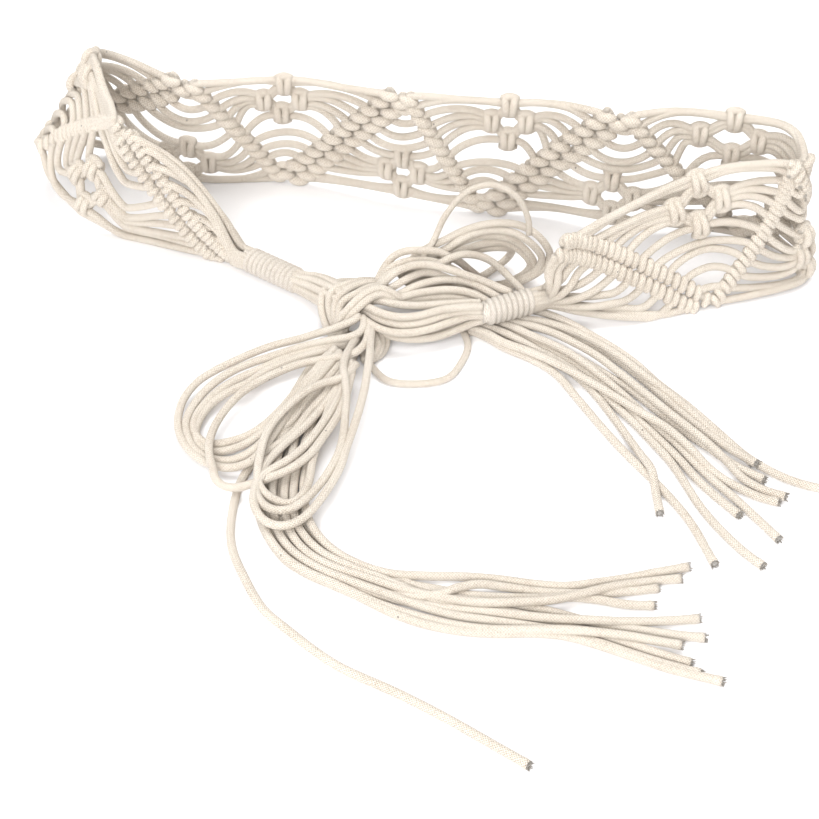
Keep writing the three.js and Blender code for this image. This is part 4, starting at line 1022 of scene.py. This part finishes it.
def squareKnot(mesh, u, v):
    # Two bars on each face over the held cords, and a turn at each side
    here, level, up, inwards = spotFrame(u, v)
    for face in (-1, 1):
        for side in (-1, 1):
            line, radii = [], []
            size = random.uniform(*flowers["varies"])
            for turn in np.linspace(-flowers["barTurn"], flowers["barTurn"], flowers["barPlaces"]):
                angle = math.radians(turn)
                sideways = side * (flowers["barApart"] + flowers["barLean"] * math.sin(angle) * face)
                line.append(here + level * sideways + up * flowers["barReach"] * math.sin(angle)
                            + inwards * face * flowers["barRise"] * math.cos(angle))
                radii.append(flowers["barRadius"] * size * (1 - flowers["barTaper"] * (1 - math.cos(angle))))
            sweep(mesh, aboveFloor(line, flowers["floor"]), radii, flowers["sides"])
    for side in (-1, 1):
        line, radii = [], []
        for s in np.linspace(-1, 1, flowers["turnPlaces"]):
            reach = flowers["turnReach"] - flowers["turnBend"] * s * s
            line.append(here + level * flowers["turnHalf"] * s + up * side * reach)
            radii.append(flowers["turnRadius"] - flowers["turnTaper"] * s * s)
        sweep(mesh, aboveFloor(line, flowers["floor"]), radii, flowers["sides"])


def makeFlowers():
    mesh = bmesh.new()
    for leftX, rightX, toV, reach, nudge in triangles():
        centreU, centre, size = flowerMiddle(leftX, rightX, toV, reach, nudge)
        apart, sideways = flowers["apart"] * size, flowers["sideways"] * size
        for u, p in ((-sideways, centre), (sideways, centre), (0, centre - apart), (0, centre + apart)):
            squareKnot(mesh, centreU + u, toV(p + random.uniform(-flowers["wander"], flowers["wander"])))
    finishPiece("net_flowers", mesh, ["net_band"])


# Each gather: the row it leaves, on which side, where its cords bulge to and how far
gathers = {
    "left_wrap": {"row": 0, "side": -1, "leave": 5.0, "bulge": (0.25, 0.3, 0.92), "low": 1.0, "high": 6.0},
    "right_wrap": {"row": 5, "side": 1, "leave": 6.5, "bulge": (0.3, -0.95, 0.1), "low": 4.0, "high": 2.0},
}
gatherSizes = {
    "mouth": 3.5, "drop": 0.9, "top": 1, "floor": 1.5, "before": 4, "into": 3, "bulgeAt": (0.25, 0.5, 0.75),
    "round": 0.9, "step": 1.7, "sway": 0.2, "radius": 1.52, "thinner": 0.3, "thinFrom": 0.7, "sides": 10,
}


def makeGathers():
    mesh = bmesh.new()
    for name, values in gathers.items():
        spot, axis, flatSide, up = mouthFrame(name, False)
        side = values["side"]
        bulge = Vector(values["bulge"]).normalized()
        for cord in range(net["cords"]):
            share = (cord + 0.5) / net["cords"]
            v = net["band"] * share
            u = risingX(values["row"], v) + side * rows["doubleGap"]
            leave = Vector(bend(u, v, 0))
            off = values["leave"]
            firstV = v - side * off * gatherSizes["drop"]
            firstV = min(net["band"] - gatherSizes["top"], max(gatherSizes["floor"], firstV))
            first = Vector(bend(u + side * off, firstV, 0))
            goal = mouthPlace(name, -1 + 2 * share, cord % 2 == 0, gatherSizes["mouth"])
            last = goal - axis * gatherSizes["before"]
            reach = values["low"] + (values["high"] - values["low"]) * share
            points = [leave, first]
            for s in gatherSizes["bulgeAt"]:
                bulging = reach * math.sin(math.pi * s) ** gatherSizes["round"]
                points.append(first.lerp(last, s) + bulge * bulging)
            points += [last, goal, goal + axis * gatherSizes["into"]]
            line = wandering(smoothLine(points, gatherSizes["step"]), gatherSizes["sway"])
            thin = gatherSizes["thinFrom"]
            shares = [max(0.0, (s - thin) / (1 - thin)) for s in np.linspace(0, 1, len(line))]
            radii = [gatherSizes["radius"] - gatherSizes["thinner"] * s for s in shares]
            sweep(mesh, aboveFloor(line, gatherSizes["floor"]), radii, gatherSizes["sides"])
    finishPiece("net_gathers", mesh, ["net_band"])


makeRows()
makeStrands()
makeFlowers()
makeGathers()
print("net tied")

# Floor and light
studio = {
    "floor": 6.0, "floorColor": (0.96, 0.955, 0.967, 1), "floorRough": 0.9, "floorShine": 0.1,
    "sky": 0.69, "skyColor": (1.0, 0.995, 0.985, 1),
    "lights": [
        {"name": "overhead", "place": (0.15, 0.25, 1.5), "size": 1.0, "power": 13.5},
        {"name": "front", "place": (-0.35, -1.25, 0.95), "size": 0.9, "power": 22.5},
    ],
}


def addFloor():
    mesh = bmesh.new()
    bmesh.ops.create_grid(mesh, x_segments=2, y_segments=2, size=studio["floor"] / 2)
    data = bpy.data.meshes.new("floor")
    mesh.to_mesh(data)
    mesh.free()
    floor = bpy.data.objects.new("floor", data)
    bpy.context.scene.collection.objects.link(floor)
    material = bpy.data.materials.new("studioFloor")
    material.use_nodes = True
    shader = material.node_tree.nodes["Principled BSDF"]
    shader.inputs["Base Color"].default_value = studio["floorColor"]
    shader.inputs["Roughness"].default_value = studio["floorRough"]
    shader.inputs["Specular IOR Level"].default_value = studio["floorShine"]
    data.materials.append(material)


def addLights():
    for values in studio["lights"]:
        data = bpy.data.lights.new(values["name"], "AREA")
        data.shape = "DISK"
        data.size = values["size"]
        data.energy = values["power"]
        light = bpy.data.objects.new(values["name"], data)
        light.location = values["place"]
        light.rotation_euler = (-Vector(values["place"])).to_track_quat("-Z", "Y").to_euler()
        bpy.context.scene.collection.objects.link(light)
    world = bpy.data.worlds.new("studio")
    bpy.context.scene.world = world
    world.use_nodes = True
    sky = world.node_tree.nodes["Background"]
    sky.inputs["Color"].default_value = studio["skyColor"]
    sky.inputs["Strength"].default_value = studio["sky"]


addFloor()
addLights()
bpy.context.scene.view_settings.view_transform = "Standard"
print("floor and light set")
